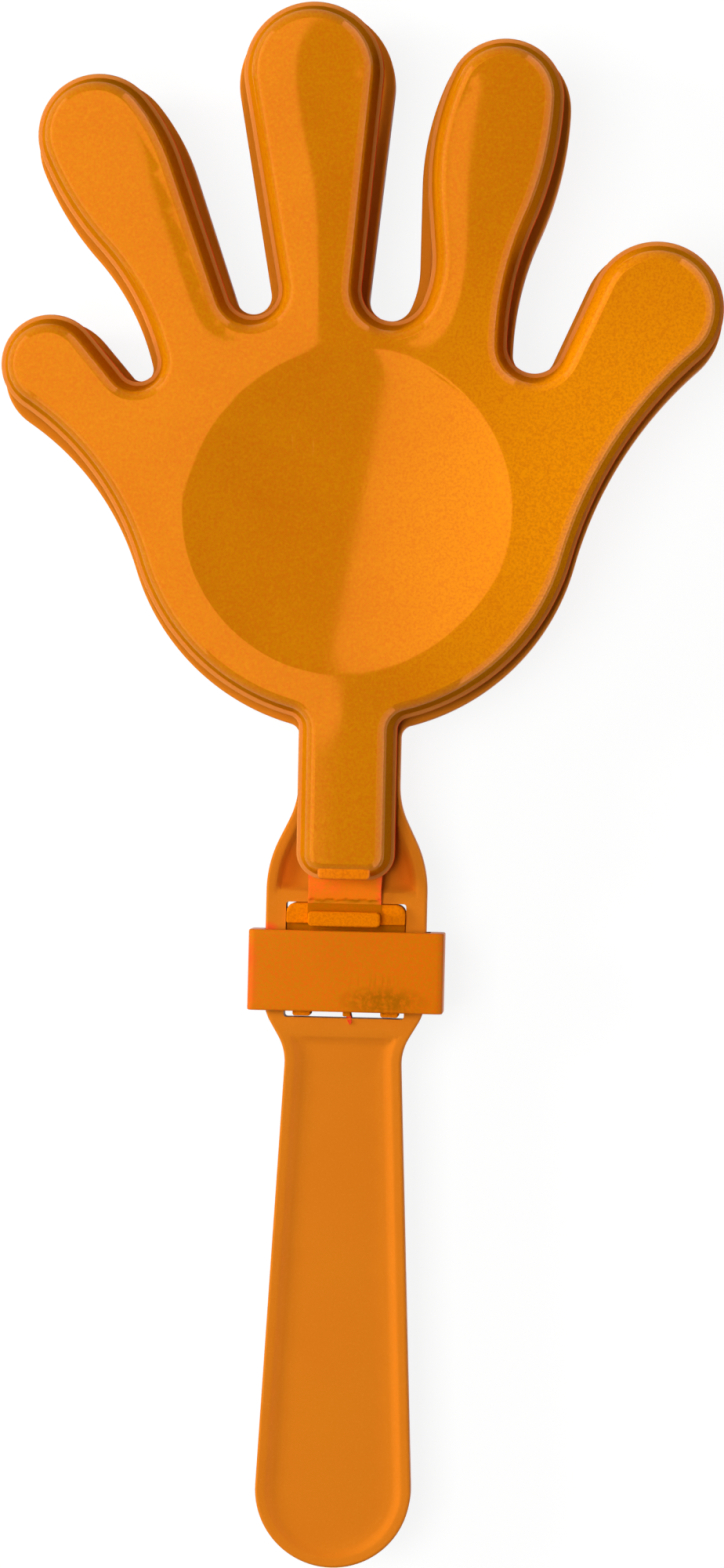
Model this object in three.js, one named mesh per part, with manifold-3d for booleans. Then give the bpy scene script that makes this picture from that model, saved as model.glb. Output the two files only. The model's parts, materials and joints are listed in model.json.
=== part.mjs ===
// A hand clapper: a flat centre hand on a long grip, with a hollow clapping hand on each side of it.
// Each clapping hand hangs on a thin bending strap whose tab lies in a window of the grip, and one
// sleeve pushed over the grip holds both tabs. Millimetres; X across the palm, Y along the grip towards
// the fingertips, Z out of the palm. While the pieces are built, Y = 0 is the hinge line and Z = 0 the
// middle of the centre hand's thickness.
import * as THREE from 'three';
import { mergeVertices } from 'three/addons/utils/BufferGeometryUtils.js';
import Module from 'manifold-3d';

const wasm = await Module();
wasm.setup();

// Clearances
const RUNNING_GAP = 0.3; // between pieces that lie against each other
const CHORD_ERROR = 0.1; // how far a facet may stand off its arc
const SHORTEST_STRAIGHT = 0.01; // squared length below which two arcs count as touching
const LARGEST_ARC = 5.6; // radians; an arc that seems to turn further turns the short way instead

// Hand outline: a belt drawn round circles. Fingertips and palm are convex, the webs between are concave.
const PALM = { x: -0.2, y: 69.2, r: 40.8 };
const THUMB = { x: 52.1, y: 103.6, r: 12.5 };
const INDEX = { x: 25.2, y: 140.2, r: 11.6 };
const MIDDLE = { x: -8.6, y: 144.0, r: 13.9 };
const RING = { x: -46.1, y: 132.1, r: 12.0 };
const PINKY = { x: -53.4, y: 90.9, r: 9.9 };
const THUMB_WEB = { x: 31.2, y: 96.6, r: 3.8 };
const INDEX_WEB = { x: 5.5, y: 105.9, r: 3.9 };
const MIDDLE_WEB = { x: -19.1, y: 106.0, r: 3.2 };
const RING_WEB = { x: -38.9, y: 92.5, r: 2.1 };
const THUMB_SIDE_RADIUS = 72; // hollow between palm and thumb
const PINKY_SIDE_RADIUS = 49; // hollow between palm and little finger
const INDEX_HOLLOW_RADIUS = 54; // index finger's hollow side above the thumb web
const INDEX_ROOT_RADIUS = 17.4; // index finger's hollow side above the index web
const INDEX_ROOT_TURN = 156; // degrees, where that hollow runs into its web
const RING_HOLLOW_RADIUS = 43.5; // ring finger's hollow side above the ring web
const INDEX_OUTER_FLANK = { r: 62.5, turn: -2 }; // long soft bulge of a finger's side, and where it starts
const INDEX_INNER_FLANK = { r: 47.5, turn: 156.5 };
const RING_INNER_FLANK = { r: 37.5, turn: 40.5 };
const RING_OUTER_FLANK = { r: 53.5, turn: 203 };

// Centre hand's stem and grip
const STEM_HALF_WIDTH = 9.05;
const PALM_FILLET = 2.2;
const SHOULDER_HALF_WIDTH = 14.35;
const FLARE_FILLET = 15;
const FLARE_ROUND = 21;
const SHOULDER_DROP = 19.2; // hinge line down to where the shoulder starts to draw in
const DRAW_IN_ROUND = 8.4;
const DRAW_IN_FILLET = 9.1;
const NECK_HALF_WIDTH = 10.4;
const BEND_STRAIGHT = 0.4; // short straight between the two arcs of an S-bend
const GRIP_END_RADIUS = 13.9;
const GRIP_LENGTH = 120.8; // hinge line to the grip's end
const RIM_HALF_DEPTH = 2.7;
const RIM_BEVEL = 0.5;
const RIM_WIDTH = 1.8;
const WEB_HALF_DEPTH = 0.8;
const POCKET_WALL_RUN = 1.6; // how far the pocket's wall leans in on its way down
const POCKET_FOOT_RISE = 0.5;
const POCKET_FOOT_RUN = 1.0;
const CROSSBAR_WIDTH = 2.0;
const WINDOW_HALF_WIDTH = 10.75;
const WINDOW_LENGTH = 20.6;
const LOWER_CROSSBAR_WIDTH = 3.4;

// Clapping hands
const FINGER_SETBACK = 1.3; // how much slimmer a clapping hand's lip is than the centre hand's outline
const PALM_SETBACK = 0.5;
const STEM_SETBACK = 0.25;
const HAND_ADVANCE = 1.0; // how much further from the hinge line a clapping hand's palm and fingers lie
const MOULDING_SHIFT = -0.25; // middle of a clapping hand's stem, strap and stop bars from the grip's middle
// The clapping hand has a mould of its own: how far each of its circles is moved, and r by how much it grows.
const CLAPPING_MOVES = {
  thumb: { x: 0.7, y: 0, r: 0.65 },
  index: { x: 0.05, y: -0.1, r: 0.1 },
  middle: { x: 0, y: 0, r: -0.2 },
  ring: { x: -0.35, y: 0.15, r: 0.15 },
  pinky: { x: -1.0, y: 0.8, r: 0.25 },
  thumbWeb: { x: 0.2, y: 0.05, r: -0.25 },
  indexWeb: { x: 0.7, y: 0.2, r: 0.4 },
  middleWeb: { x: 0.35, y: -0.45, r: 0.05 },
  ringWeb: { x: 0, y: -0.1, r: 0.05 },
};
const HAND_HEIGHT = 7.5;
const SHELL_WALL = 1.2;
const LIP_WIDTH = 0.8;
const LIP_HEIGHT = 0.95;
const WALL_DRAFT = 0.3;
const EDGE_ROUND = 3.0;
const EDGE_STEPS = 3;
const DISH_OFFSET = { x: -0.8, y: -2.2 }; // from the palm's centre
const DISH_LAND = 1.7; // least flat face left between the dish and the rounded edge
const DISH_DEPTH = 1.6;
const DISH_SEGMENTS = 40;
const DISH_RINGS = [1, 0.7, 0.36]; // shares of the dish's radius
const STEM_END_CORNER = 4.8;
const REST_OPEN = 4; // degrees that the front hand stands open at rest

// Hinge straps, tabs and stops
const STRAP_WIDTH = 13.2;
const STRAP_THICKNESS = 0.6;
const STRAP_RISE = 0.05; // strap's underside above the plane of the clapping hand's rim
const HINGE_REACH = 2.2; // hinge line to the clapping hand's stem end
const TAB_TOP = 2.3; // hinge line down to the tab
const TAB_LENGTH = 16.7;
const TAB_CORNER = 2.1;
const TAB_HEIGHT = 3.5; // from the middle of the handle's thickness
const LEG_WIDTH = 3.2;
const LEG_OFFSET = 8.0;
const SPRUE_WIDTH = 1.4;
const SPRUE_OFFSET = 0.5;
const LEDGE_RISE = 0.15;
const STOP_BAR_CORNER = 0.8;
const STOP_BAR_BEVEL = 0.3;
const HAND_STOP_WIDTH = 9.3;
const HAND_STOP_LENGTH = 2.25;
const HAND_STOP_DROP = 0.8; // below the hand's flat face
const HAND_STOP_INSET = 0.55; // from the stem's end
const TAB_STOP_WIDTH = 12.9;
const TAB_STOP_LENGTH = 2.65;
const TAB_STOP_RISE = 2.0;
const TAB_STOP_DROP = 1.25; // tab's top edge down to its stop bar

// Sleeve
const SLEEVE_DROP = 7.0; // hinge line down to the sleeve
const SLEEVE_LENGTH = 14.4;
const SLEEVE_FACE_WALL = 1.6;
const SLEEVE_SIDE_WALL = 2.55;
const SLEEVE_SHIFT = 0.25; // the sleeve is pushed on a little to the right
const SLEEVE_CORNER = 1.2;
const SLEEVE_INNER_CORNER = 0.5;
const SLEEVE_BEVEL = 0.3;

const OVERCUT = 1; // how far a cutting solid stands past what it cuts
const RIM_PLANE = RIM_HALF_DEPTH + RUNNING_GAP; // height at which a clapping hand's rim lies when closed
const HINGE_HEIGHT = RIM_PLANE + STRAP_RISE + STRAP_THICKNESS / 2;

const CENTRE_FINGERS = {
  thumb: THUMB,
  index: INDEX,
  middle: MIDDLE,
  ring: RING,
  pinky: PINKY,
  thumbWeb: THUMB_WEB,
  indexWeb: INDEX_WEB,
  middleWeb: MIDDLE_WEB,
  ringWeb: RING_WEB,
};
const CLAPPING_FINGERS = Object.fromEntries(Object.entries(CENTRE_FINGERS).map(([name, circle]) => {
  const move = CLAPPING_MOVES[name];
  return [name, { x: circle.x + move.x, y: circle.y + move.y, r: circle.r + move.r }];
}));

const handPlastic = { color: 0xe07f12, roughness: 0.22, metalness: 0 };
const gripPlastic = { color: 0xd67518, roughness: 0.55, metalness: 0 };
const sleevePlastic = { color: 0xdd7a12, roughness: 0.45, metalness: 0 };
const strapPlastic = { color: 0xee6c08, roughness: 0.3, metalness: 0 };

function radians(degrees) {
  return THREE.MathUtils.degToRad(degrees);
}

// A circle of the belt; r > 0 is convex and r < 0 concave. setback moves its arc inwards.
function convex(circle, setback = 0) {
  return { x: circle.x, y: circle.y, r: circle.r - setback };
}

function concave(circle, setback = 0) {
  return { x: circle.x, y: circle.y, r: -circle.r - setback };
}

// The long arc of a finger's side, which touches the fingertip from inside where it takes over.
function flankArc(tip, flank, setback = 0) {
  const reach = tip.r - flank.r;
  const turn = radians(flank.turn);
  return { x: tip.x + reach * Math.cos(turn), y: tip.y + reach * Math.sin(turn), r: flank.r - setback };
}

// A concave arc that touches two circles of the belt, on the right of the way from a to b.
function hollowBetween(a, b, radius) {
  const fromA = a.r + radius;
  const fromB = b.r + radius;
  const dx = b.x - a.x;
  const dy = b.y - a.y;
  const apart = Math.hypot(dx, dy);
  const along = (fromA * fromA - fromB * fromB + apart * apart) / (2 * apart);
  const aside = Math.sqrt(Math.max(0, fromA * fromA - along * along));
  return {
    x: a.x + (dx * along + dy * aside) / apart,
    y: a.y + (dy * along - dx * aside) / apart,
    r: -radius,
  };
}

// The fillet between the palm and the stem's straight side, whose middle is at stemX.
function palmFillet(palm, stemX, halfWidth, side) {
  const x = stemX + side * (halfWidth + PALM_FILLET);
  const reach = palm.r + PALM_FILLET;
  return { x, y: palm.y - Math.sqrt(reach * reach - (x - palm.x) ** 2), r: -PALM_FILLET };
}

// From the right side of the palm's foot round the hand to its left side, counterclockwise. advance moves
// palm and fingers away from the hinge line, and fingers gives each finger's and web's own circle.
function handCircles({ fingers, palmSetback, fingerSetback, advance, stemX, stemHalfWidth }) {
  const palm = convex(PALM, palmSetback);
  const thumb = convex(fingers.thumb, fingerSetback);
  const pinky = convex(fingers.pinky, fingerSetback);
  const thumbWeb = concave(fingers.thumbWeb, fingerSetback);
  const indexWeb = concave(fingers.indexWeb, fingerSetback);
  const ringWeb = concave(fingers.ringWeb, fingerSetback);
  const indexOuter = flankArc(fingers.index, INDEX_OUTER_FLANK, fingerSetback);
  const ringOuter = flankArc(fingers.ring, RING_OUTER_FLANK, fingerSetback);
  const rootReach = INDEX_ROOT_RADIUS - fingers.indexWeb.r;
  const rootTurn = radians(INDEX_ROOT_TURN);
  const indexRoot = {
    x: fingers.indexWeb.x + rootReach * Math.cos(rootTurn),
    y: fingers.indexWeb.y + rootReach * Math.sin(rootTurn),
    r: -INDEX_ROOT_RADIUS - fingerSetback,
  };
  const outline = [
    palm,
    hollowBetween(palm, thumb, THUMB_SIDE_RADIUS + fingerSetback),
    thumb,
    thumbWeb,
    hollowBetween(thumbWeb, indexOuter, INDEX_HOLLOW_RADIUS + fingerSetback),
    indexOuter,
    convex(fingers.index, fingerSetback),
    flankArc(fingers.index, INDEX_INNER_FLANK, fingerSetback),
    indexRoot,
    indexWeb,
    convex(fingers.middle, fingerSetback),
    concave(fingers.middleWeb, fingerSetback),
    flankArc(fingers.ring, RING_INNER_FLANK, fingerSetback),
    convex(fingers.ring, fingerSetback),
    ringOuter,
    hollowBetween(ringOuter, ringWeb, RING_HOLLOW_RADIUS + fingerSetback),
    ringWeb,
    pinky,
    hollowBetween(pinky, palm, PINKY_SIDE_RADIUS + fingerSetback),
    palm,
  ].map((circle) => ({ ...circle, y: circle.y + advance }));
  const foot = outline[0];
  return [palmFillet(foot, stemX, stemHalfWidth, 1), ...outline, palmFillet(foot, stemX, stemHalfWidth, -1)];
}

// How far apart along Y the two arcs of an S-bend lie when it steps a side by so much.
function bendLength(step, radiusSum) {
  return Math.sqrt(2 * radiusSum * step - step * step) + BEND_STRAIGHT;
}

// One side of the grip from the neck up to the stem; side is 1 on the right and -1 on the left.
function gripSide(side) {
  const flare = bendLength(SHOULDER_HALF_WIDTH - STEM_HALF_WIDTH, FLARE_ROUND + FLARE_FILLET);
  const drawIn = bendLength(SHOULDER_HALF_WIDTH - NECK_HALF_WIDTH, DRAW_IN_ROUND + DRAW_IN_FILLET);
  return [
    { x: side * (NECK_HALF_WIDTH + DRAW_IN_FILLET), y: -SHOULDER_DROP - drawIn, r: -DRAW_IN_FILLET },
    { x: side * (SHOULDER_HALF_WIDTH - DRAW_IN_ROUND), y: -SHOULDER_DROP, r: DRAW_IN_ROUND },
    { x: side * (SHOULDER_HALF_WIDTH - FLARE_ROUND), y: 0, r: FLARE_ROUND },
    { x: side * (STEM_HALF_WIDTH + FLARE_FILLET), y: flare, r: -FLARE_FILLET },
  ];
}

function handleCircles() {
  return [
    { x: 0, y: GRIP_END_RADIUS - GRIP_LENGTH, r: GRIP_END_RADIUS },
    ...gripSide(1),
    ...handCircles({
      fingers: CENTRE_FINGERS,
      palmSetback: 0,
      fingerSetback: 0,
      advance: 0,
      stemX: 0,
      stemHalfWidth: STEM_HALF_WIDTH,
    }),
    ...gripSide(-1).reverse(),
  ];
}

function clappingHandCircles() {
  const halfWidth = STEM_HALF_WIDTH - STEM_SETBACK;
  const cornerX = halfWidth - STEM_END_CORNER;
  const cornerY = HINGE_REACH + STEM_END_CORNER;
  return [
    { x: MOULDING_SHIFT - cornerX, y: cornerY, r: STEM_END_CORNER },
    { x: MOULDING_SHIFT + cornerX, y: cornerY, r: STEM_END_CORNER },
    ...handCircles({
      fingers: CLAPPING_FINGERS,
      palmSetback: PALM_SETBACK,
      fingerSetback: FINGER_SETBACK,
      advance: HAND_ADVANCE,
      stemX: MOULDING_SHIFT,
      stemHalfWidth: halfWidth,
    }),
  ];
}

// Direction of the point in which the belt leaves circle a for circle b.
function leavingAngle(a, b) {
  const dx = b.x - a.x;
  const dy = b.y - a.y;
  const share = THREE.MathUtils.clamp((a.r - b.r) / Math.hypot(dx, dy), -1, 1);
  return Math.atan2(dy, dx) - Math.acos(share);
}

// Each circle's arc on the belt: where it starts, how far it turns and in how many steps. Where it touches
// the arc before it, the two share a point, so its first step is left out.
function beltArcs(circles) {
  const count = circles.length;
  const wholeTurn = 2 * Math.PI;
  return circles.map((circle, i) => {
    const start = leavingAngle(circles[(i + count - 1) % count], circle);
    const end = leavingAngle(circle, circles[(i + 1) % count]);
    let turn = THREE.MathUtils.euclideanModulo(end - start, wholeTurn);
    if (circle.r < 0 || turn > LARGEST_ARC) turn -= wholeTurn;
    if (turn < -LARGEST_ARC) turn += wholeTurn;
    const stepAngle = 2 * Math.acos(1 - CHORD_ERROR / Math.abs(circle.r));
    const steps = Math.max(1, Math.ceil(Math.abs(turn) / stepAngle));
    const before = circles[(i + count - 1) % count];
    const straight = Math.hypot(circle.x - before.x, circle.y - before.y) ** 2 - (circle.r - before.r) ** 2;
    return { ...circle, start, turn, steps, firstStep: straight < SHORTEST_STRAIGHT ? 1 : 0 };
  });
}

// The belt as points, moved inwards by inset. Rings of one belt match point for point.
function beltRing(arcs, inset) {
  const points = [];
  for (const arc of arcs) {
    for (let i = arc.firstStep; i <= arc.steps; i += 1) {
      const angle = arc.start + (arc.turn * i) / arc.steps;
      const reach = arc.r - inset;
      points.push(new THREE.Vector2(arc.x + reach * Math.cos(angle), arc.y + reach * Math.sin(angle)));
    }
  }
  return points;
}

function circleRing(centre, radius, segments) {
  const points = [];
  for (let i = 0; i < segments; i += 1) {
    const angle = (2 * Math.PI * i) / segments;
    points.push(new THREE.Vector2(centre.x + radius * Math.cos(angle), centre.y + radius * Math.sin(angle)));
  }
  return points;
}

// A closed skin put together from counterclockwise rings of points.
class Skin {
  constructor() {
    this.positions = [];
    this.triangles = [];
  }

  ring(points, z) {
    const first = this.positions.length / 3;
    for (const point of points) this.positions.push(point.x, point.y, z);
    return { first, points };
  }

  // The strip between two rings of the same count; it faces outwards when b lies above a.
  strip(a, b) {
    const count = a.points.length;
    for (let i = 0; i < count; i += 1) {
      const j = (i + 1) % count;
      this.triangles.push(a.first + i, a.first + j, b.first + j, a.first + i, b.first + j, b.first + i);
    }
  }

  // A flat lid over a ring, with a hole where another ring is given.
  lid(outer, hole, faceUp) {
    const holes = hole ? [hole.points.slice()] : [];
    const index = (i) => (i < outer.points.length ? outer.first + i : hole.first + i - outer.points.length);
    const all = hole ? [...outer.points, ...hole.points] : outer.points;
    for (const [a, b, c] of THREE.ShapeUtils.triangulateShape(outer.points.slice(), holes)) {
      const up = THREE.ShapeUtils.area([all[a], all[b], all[c]]) > 0;
      const order = up === faceUp ? [a, b, c] : [a, c, b];
      this.triangles.push(...order.map(index));
    }
  }

  // A fan from a ring to the point in its middle.
  fan(ring, centre, z, faceUp) {
    const middle = this.positions.length / 3;
    this.positions.push(centre.x, centre.y, z);
    const count = ring.points.length;
    for (let i = 0; i < count; i += 1) {
      const a = ring.first + i;
      const b = ring.first + ((i + 1) % count);
      if (faceUp) this.triangles.push(a, b, middle);
      else this.triangles.push(b, a, middle);
    }
  }

  geometry() {
    const geometry = new THREE.BufferGeometry();
    geometry.setAttribute('position', new THREE.Float32BufferAttribute(this.positions, 3));
    geometry.setIndex(this.triangles);
    return geometry;
  }
}

function toSolid(geometry) {
  const bare = geometry.clone();
  bare.deleteAttribute('normal');
  bare.deleteAttribute('uv');
  const merged = mergeVertices(bare, 1e-4);
  const vertProperties = new Float32Array(merged.getAttribute('position').array);
  const triVerts = new Uint32Array(merged.getIndex().array);
  return new wasm.Manifold(new wasm.Mesh({ numProp: 3, vertProperties, triVerts }));
}

function toGeometry(solid) {
  const { vertProperties, triVerts } = solid.getMesh();
  const geometry = new THREE.BufferGeometry();
  geometry.setAttribute('position', new THREE.BufferAttribute(new Float32Array(vertProperties), 3));
  geometry.setIndex(new THREE.BufferAttribute(new Uint32Array(triVerts), 1));
  return geometry;
}

// A stack of rings of one belt, each given as an inset and a height, closed by a lid at both ends.
function stackedRings(arcs, levels) {
  const skin = new Skin();
  const rings = levels.map(({ inset, z }) => skin.ring(beltRing(arcs, inset), z));
  for (let i = 1; i < rings.length; i += 1) skin.strip(rings[i - 1], rings[i]);
  skin.lid(rings[0], null, false);
  skin.lid(rings[rings.length - 1], null, true);
  return skin.geometry();
}

function boxSolid(xMin, xMax, yMin, yMax, zMin, zMax) {
  const box = new THREE.BoxGeometry(xMax - xMin, yMax - yMin, zMax - zMin);
  box.translate((xMin + xMax) / 2, (yMin + yMax) / 2, (zMin + zMax) / 2);
  return toSolid(box);
}

function roundedRectangle(xMin, xMax, yMin, yMax, corner) {
  const shape = new THREE.Shape();
  const quarter = Math.PI / 2;
  shape.moveTo(xMin + corner, yMin);
  shape.absarc(xMax - corner, yMin + corner, corner, -quarter, 0);
  shape.absarc(xMax - corner, yMax - corner, corner, 0, quarter);
  shape.absarc(xMin + corner, yMax - corner, corner, quarter, 2 * quarter);
  shape.absarc(xMin + corner, yMin + corner, corner, 2 * quarter, 3 * quarter);
  return shape;
}

// A stop bar on the moulding's middle: rounded corners and a bevelled top, from zMin up to zMax.
function barSolid(halfWidth, yMin, yMax, zMin, zMax) {
  const bevel = STOP_BAR_BEVEL;
  const reach = halfWidth - bevel;
  const shape = roundedRectangle(MOULDING_SHIFT - reach, MOULDING_SHIFT + reach, yMin + bevel, yMax - bevel,
    STOP_BAR_CORNER - bevel);
  const bar = new THREE.ExtrudeGeometry(shape, {
    depth: zMax - zMin - 2 * bevel,
    bevelThickness: bevel,
    bevelSize: bevel,
    bevelSegments: 1,
    curveSegments: 3,
  });
  bar.translate(0, 0, zMin + bevel);
  return toSolid(bar);
}

// One moulding: centre hand, stem and grip with a raised rim and a thin web, as in an I-section.
function makeHandle() {
  const arcs = beltArcs(handleCircles());
  const body = stackedRings(arcs, [
    { inset: RIM_BEVEL, z: -RIM_HALF_DEPTH },
    { inset: 0, z: RIM_BEVEL - RIM_HALF_DEPTH },
    { inset: 0, z: RIM_HALF_DEPTH - RIM_BEVEL },
    { inset: RIM_BEVEL, z: RIM_HALF_DEPTH },
  ]);
  const wallLean = POCKET_WALL_RUN - POCKET_FOOT_RUN;
  const wallRise = RIM_HALF_DEPTH - WEB_HALF_DEPTH - POCKET_FOOT_RISE;
  const pocket = stackedRings(arcs, [
    { inset: RIM_WIDTH + POCKET_WALL_RUN, z: WEB_HALF_DEPTH },
    { inset: RIM_WIDTH + wallLean, z: WEB_HALF_DEPTH + POCKET_FOOT_RISE },
    { inset: RIM_WIDTH - (wallLean * OVERCUT) / wallRise, z: RIM_HALF_DEPTH + OVERCUT },
  ]);
  const backPocket = mirrored(pocket);
  const windowTop = -CROSSBAR_WIDTH;
  const windowBottom = windowTop - WINDOW_LENGTH;
  const reach = 2 * GRIP_LENGTH;
  const middle = boxSolid(-reach, reach, windowBottom - LOWER_CROSSBAR_WIDTH, 0, -reach, reach);
  const window = boxSolid(-WINDOW_HALF_WIDTH, WINDOW_HALF_WIDTH, windowBottom, windowTop,
    -RIM_HALF_DEPTH - OVERCUT, RIM_HALF_DEPTH + OVERCUT);
  const pockets = toSolid(pocket).add(toSolid(backPocket)).subtract(middle);
  return toGeometry(toSolid(body).subtract(pockets).subtract(window));
}

// The same geometry seen in a mirror that lies in the plane Z = 0.
function mirrored(geometry) {
  const copy = geometry.index ? geometry.clone() : mergeVertices(geometry);
  const position = copy.getAttribute('position');
  for (let i = 0; i < position.count; i += 1) position.setZ(i, -position.getZ(i));
  const index = copy.getIndex();
  for (let i = 0; i < index.count; i += 3) {
    const second = index.getX(i + 1);
    index.setX(i + 1, index.getX(i + 2));
    index.setX(i + 2, second);
  }
  return copy;
}

// Rounded edge of the shell from the wall's top to the flat face, as insets and heights.
function edgeLevels(wallTopInset) {
  const levels = [];
  for (let i = 0; i <= EDGE_STEPS; i += 1) {
    const angle = (Math.PI / 2) * (i / EDGE_STEPS);
    levels.push({
      inset: wallTopInset + EDGE_ROUND * (1 - Math.cos(angle)),
      z: HAND_HEIGHT - EDGE_ROUND * (1 - Math.sin(angle)),
    });
  }
  return levels;
}

// A face with a shallow round dish in it, the largest that leaves the wanted land beside it.
function addDishedFace(skin, faceRing, z, faceUp) {
  const centre = new THREE.Vector2(PALM.x + DISH_OFFSET.x, PALM.y + HAND_ADVANCE + DISH_OFFSET.y);
  const radius = Math.min(...faceRing.points.map((point) => point.distanceTo(centre))) - DISH_LAND;
  const rings = DISH_RINGS.map((share) => skin.ring(circleRing(centre, radius * share, DISH_SEGMENTS),
    z - DISH_DEPTH * (1 - share * share)));
  skin.lid(faceRing, rings[0], faceUp);
  for (let i = 1; i < rings.length; i += 1) {
    if (faceUp) skin.strip(rings[i - 1], rings[i]);
    else skin.strip(rings[i], rings[i - 1]);
  }
  skin.fan(rings[rings.length - 1], centre, z - DISH_DEPTH, faceUp);
}

// A hollow hand, open underneath: lip, drafted wall, rounded edge and a face with a shallow dish. Built
// with its rim at Z = 0.
function handShell() {
  const arcs = beltArcs(clappingHandCircles());
  const skin = new Skin();
  const wallFoot = LIP_WIDTH;
  const wallTop = wallFoot + WALL_DRAFT;
  const outside = [
    { inset: 0, z: 0 },
    { inset: 0, z: LIP_HEIGHT },
    { inset: wallFoot, z: LIP_HEIGHT },
    ...edgeLevels(wallTop),
  ];
  const inside = [
    { inset: wallFoot + SHELL_WALL, z: 0 },
    { inset: wallTop + SHELL_WALL, z: HAND_HEIGHT - EDGE_ROUND },
    { inset: wallTop + EDGE_ROUND, z: HAND_HEIGHT - SHELL_WALL },
  ];
  const outer = outside.map(({ inset, z }) => skin.ring(beltRing(arcs, inset), z));
  const inner = inside.map(({ inset, z }) => skin.ring(beltRing(arcs, inset), z));
  for (let i = 1; i < outer.length; i += 1) skin.strip(outer[i - 1], outer[i]);
  for (let i = 1; i < inner.length; i += 1) skin.strip(inner[i], inner[i - 1]);
  skin.strip(inner[0], outer[0]);
  addDishedFace(skin, outer[outer.length - 1], HAND_HEIGHT, true);
  addDishedFace(skin, inner[inner.length - 1], HAND_HEIGHT - SHELL_WALL, false);
  return skin.geometry();
}

// The clapping hand with the stop bar on its stem's rounded end, closed against the centre hand.
function makeClappingHand() {
  const shell = handShell();
  shell.translate(0, 0, RIM_PLANE);
  const barStart = HINGE_REACH + HAND_STOP_INSET;
  const bar = barSolid(HAND_STOP_WIDTH / 2, barStart, barStart + HAND_STOP_LENGTH,
    RIM_PLANE + LIP_HEIGHT, RIM_PLANE + HAND_HEIGHT - HAND_STOP_DROP);
  const cavity = boxSolid(-HAND_STOP_WIDTH, HAND_STOP_WIDTH, HINGE_REACH + LIP_WIDTH + SHELL_WALL,
    HINGE_REACH + HAND_STOP_WIDTH, 0, RIM_PLANE + HAND_HEIGHT - EDGE_ROUND);
  return toGeometry(toSolid(shell).add(bar.subtract(cavity)));
}

function makeStrap() {
  const yMin = RUNNING_GAP - TAB_TOP;
  const yMax = HINGE_REACH - RUNNING_GAP;
  const strap = new THREE.BoxGeometry(STRAP_WIDTH, yMax - yMin, STRAP_THICKNESS);
  strap.translate(MOULDING_SHIFT, (yMin + yMax) / 2, HINGE_HEIGHT);
  return strap;
}

// The tab's outline: a plate with rounded shoulders, two round-ended legs and a sprue nib between them.
function tabShape() {
  const halfWidth = WINDOW_HALF_WIDTH - RUNNING_GAP;
  const top = -TAB_TOP;
  const bottom = top - TAB_LENGTH;
  const legEnd = -CROSSBAR_WIDTH - WINDOW_LENGTH + RUNNING_GAP;
  const legRound = LEG_WIDTH / 2;
  const shape = new THREE.Shape();
  shape.moveTo(-halfWidth, bottom);
  for (const x of [-LEG_OFFSET, SPRUE_OFFSET, LEG_OFFSET]) {
    if (x === SPRUE_OFFSET) {
      shape.lineTo(x - SPRUE_WIDTH / 2, bottom);
      shape.lineTo(x - SPRUE_WIDTH / 2, legEnd);
      shape.lineTo(x + SPRUE_WIDTH / 2, legEnd);
      shape.lineTo(x + SPRUE_WIDTH / 2, bottom);
    } else {
      shape.lineTo(x - legRound, bottom);
      shape.absarc(x, legEnd + legRound, legRound, Math.PI, 2 * Math.PI);
      shape.lineTo(x + legRound, bottom);
    }
  }
  shape.lineTo(halfWidth, bottom);
  shape.absarc(halfWidth - TAB_CORNER, top - TAB_CORNER, TAB_CORNER, 0, Math.PI / 2);
  shape.absarc(TAB_CORNER - halfWidth, top - TAB_CORNER, TAB_CORNER, Math.PI / 2, Math.PI);
  return shape;
}

function makeTab() {
  const foot = RUNNING_GAP / 2;
  const plate = new THREE.ExtrudeGeometry(tabShape(), {
    depth: TAB_HEIGHT - foot,
    bevelEnabled: false,
    curveSegments: 6,
  });
  plate.translate(0, 0, foot);
  const barTop = -TAB_TOP - TAB_STOP_DROP;
  const ledge = boxSolid(MOULDING_SHIFT - STRAP_WIDTH / 2, MOULDING_SHIFT + STRAP_WIDTH / 2,
    barTop - TAB_STOP_LENGTH / 2, -TAB_TOP, TAB_HEIGHT / 2, TAB_HEIGHT + LEDGE_RISE);
  const bar = barSolid(TAB_STOP_WIDTH / 2, barTop - TAB_STOP_LENGTH, barTop, TAB_HEIGHT / 2,
    TAB_HEIGHT + TAB_STOP_RISE);
  return toGeometry(toSolid(plate).add(ledge).add(bar));
}

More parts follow.
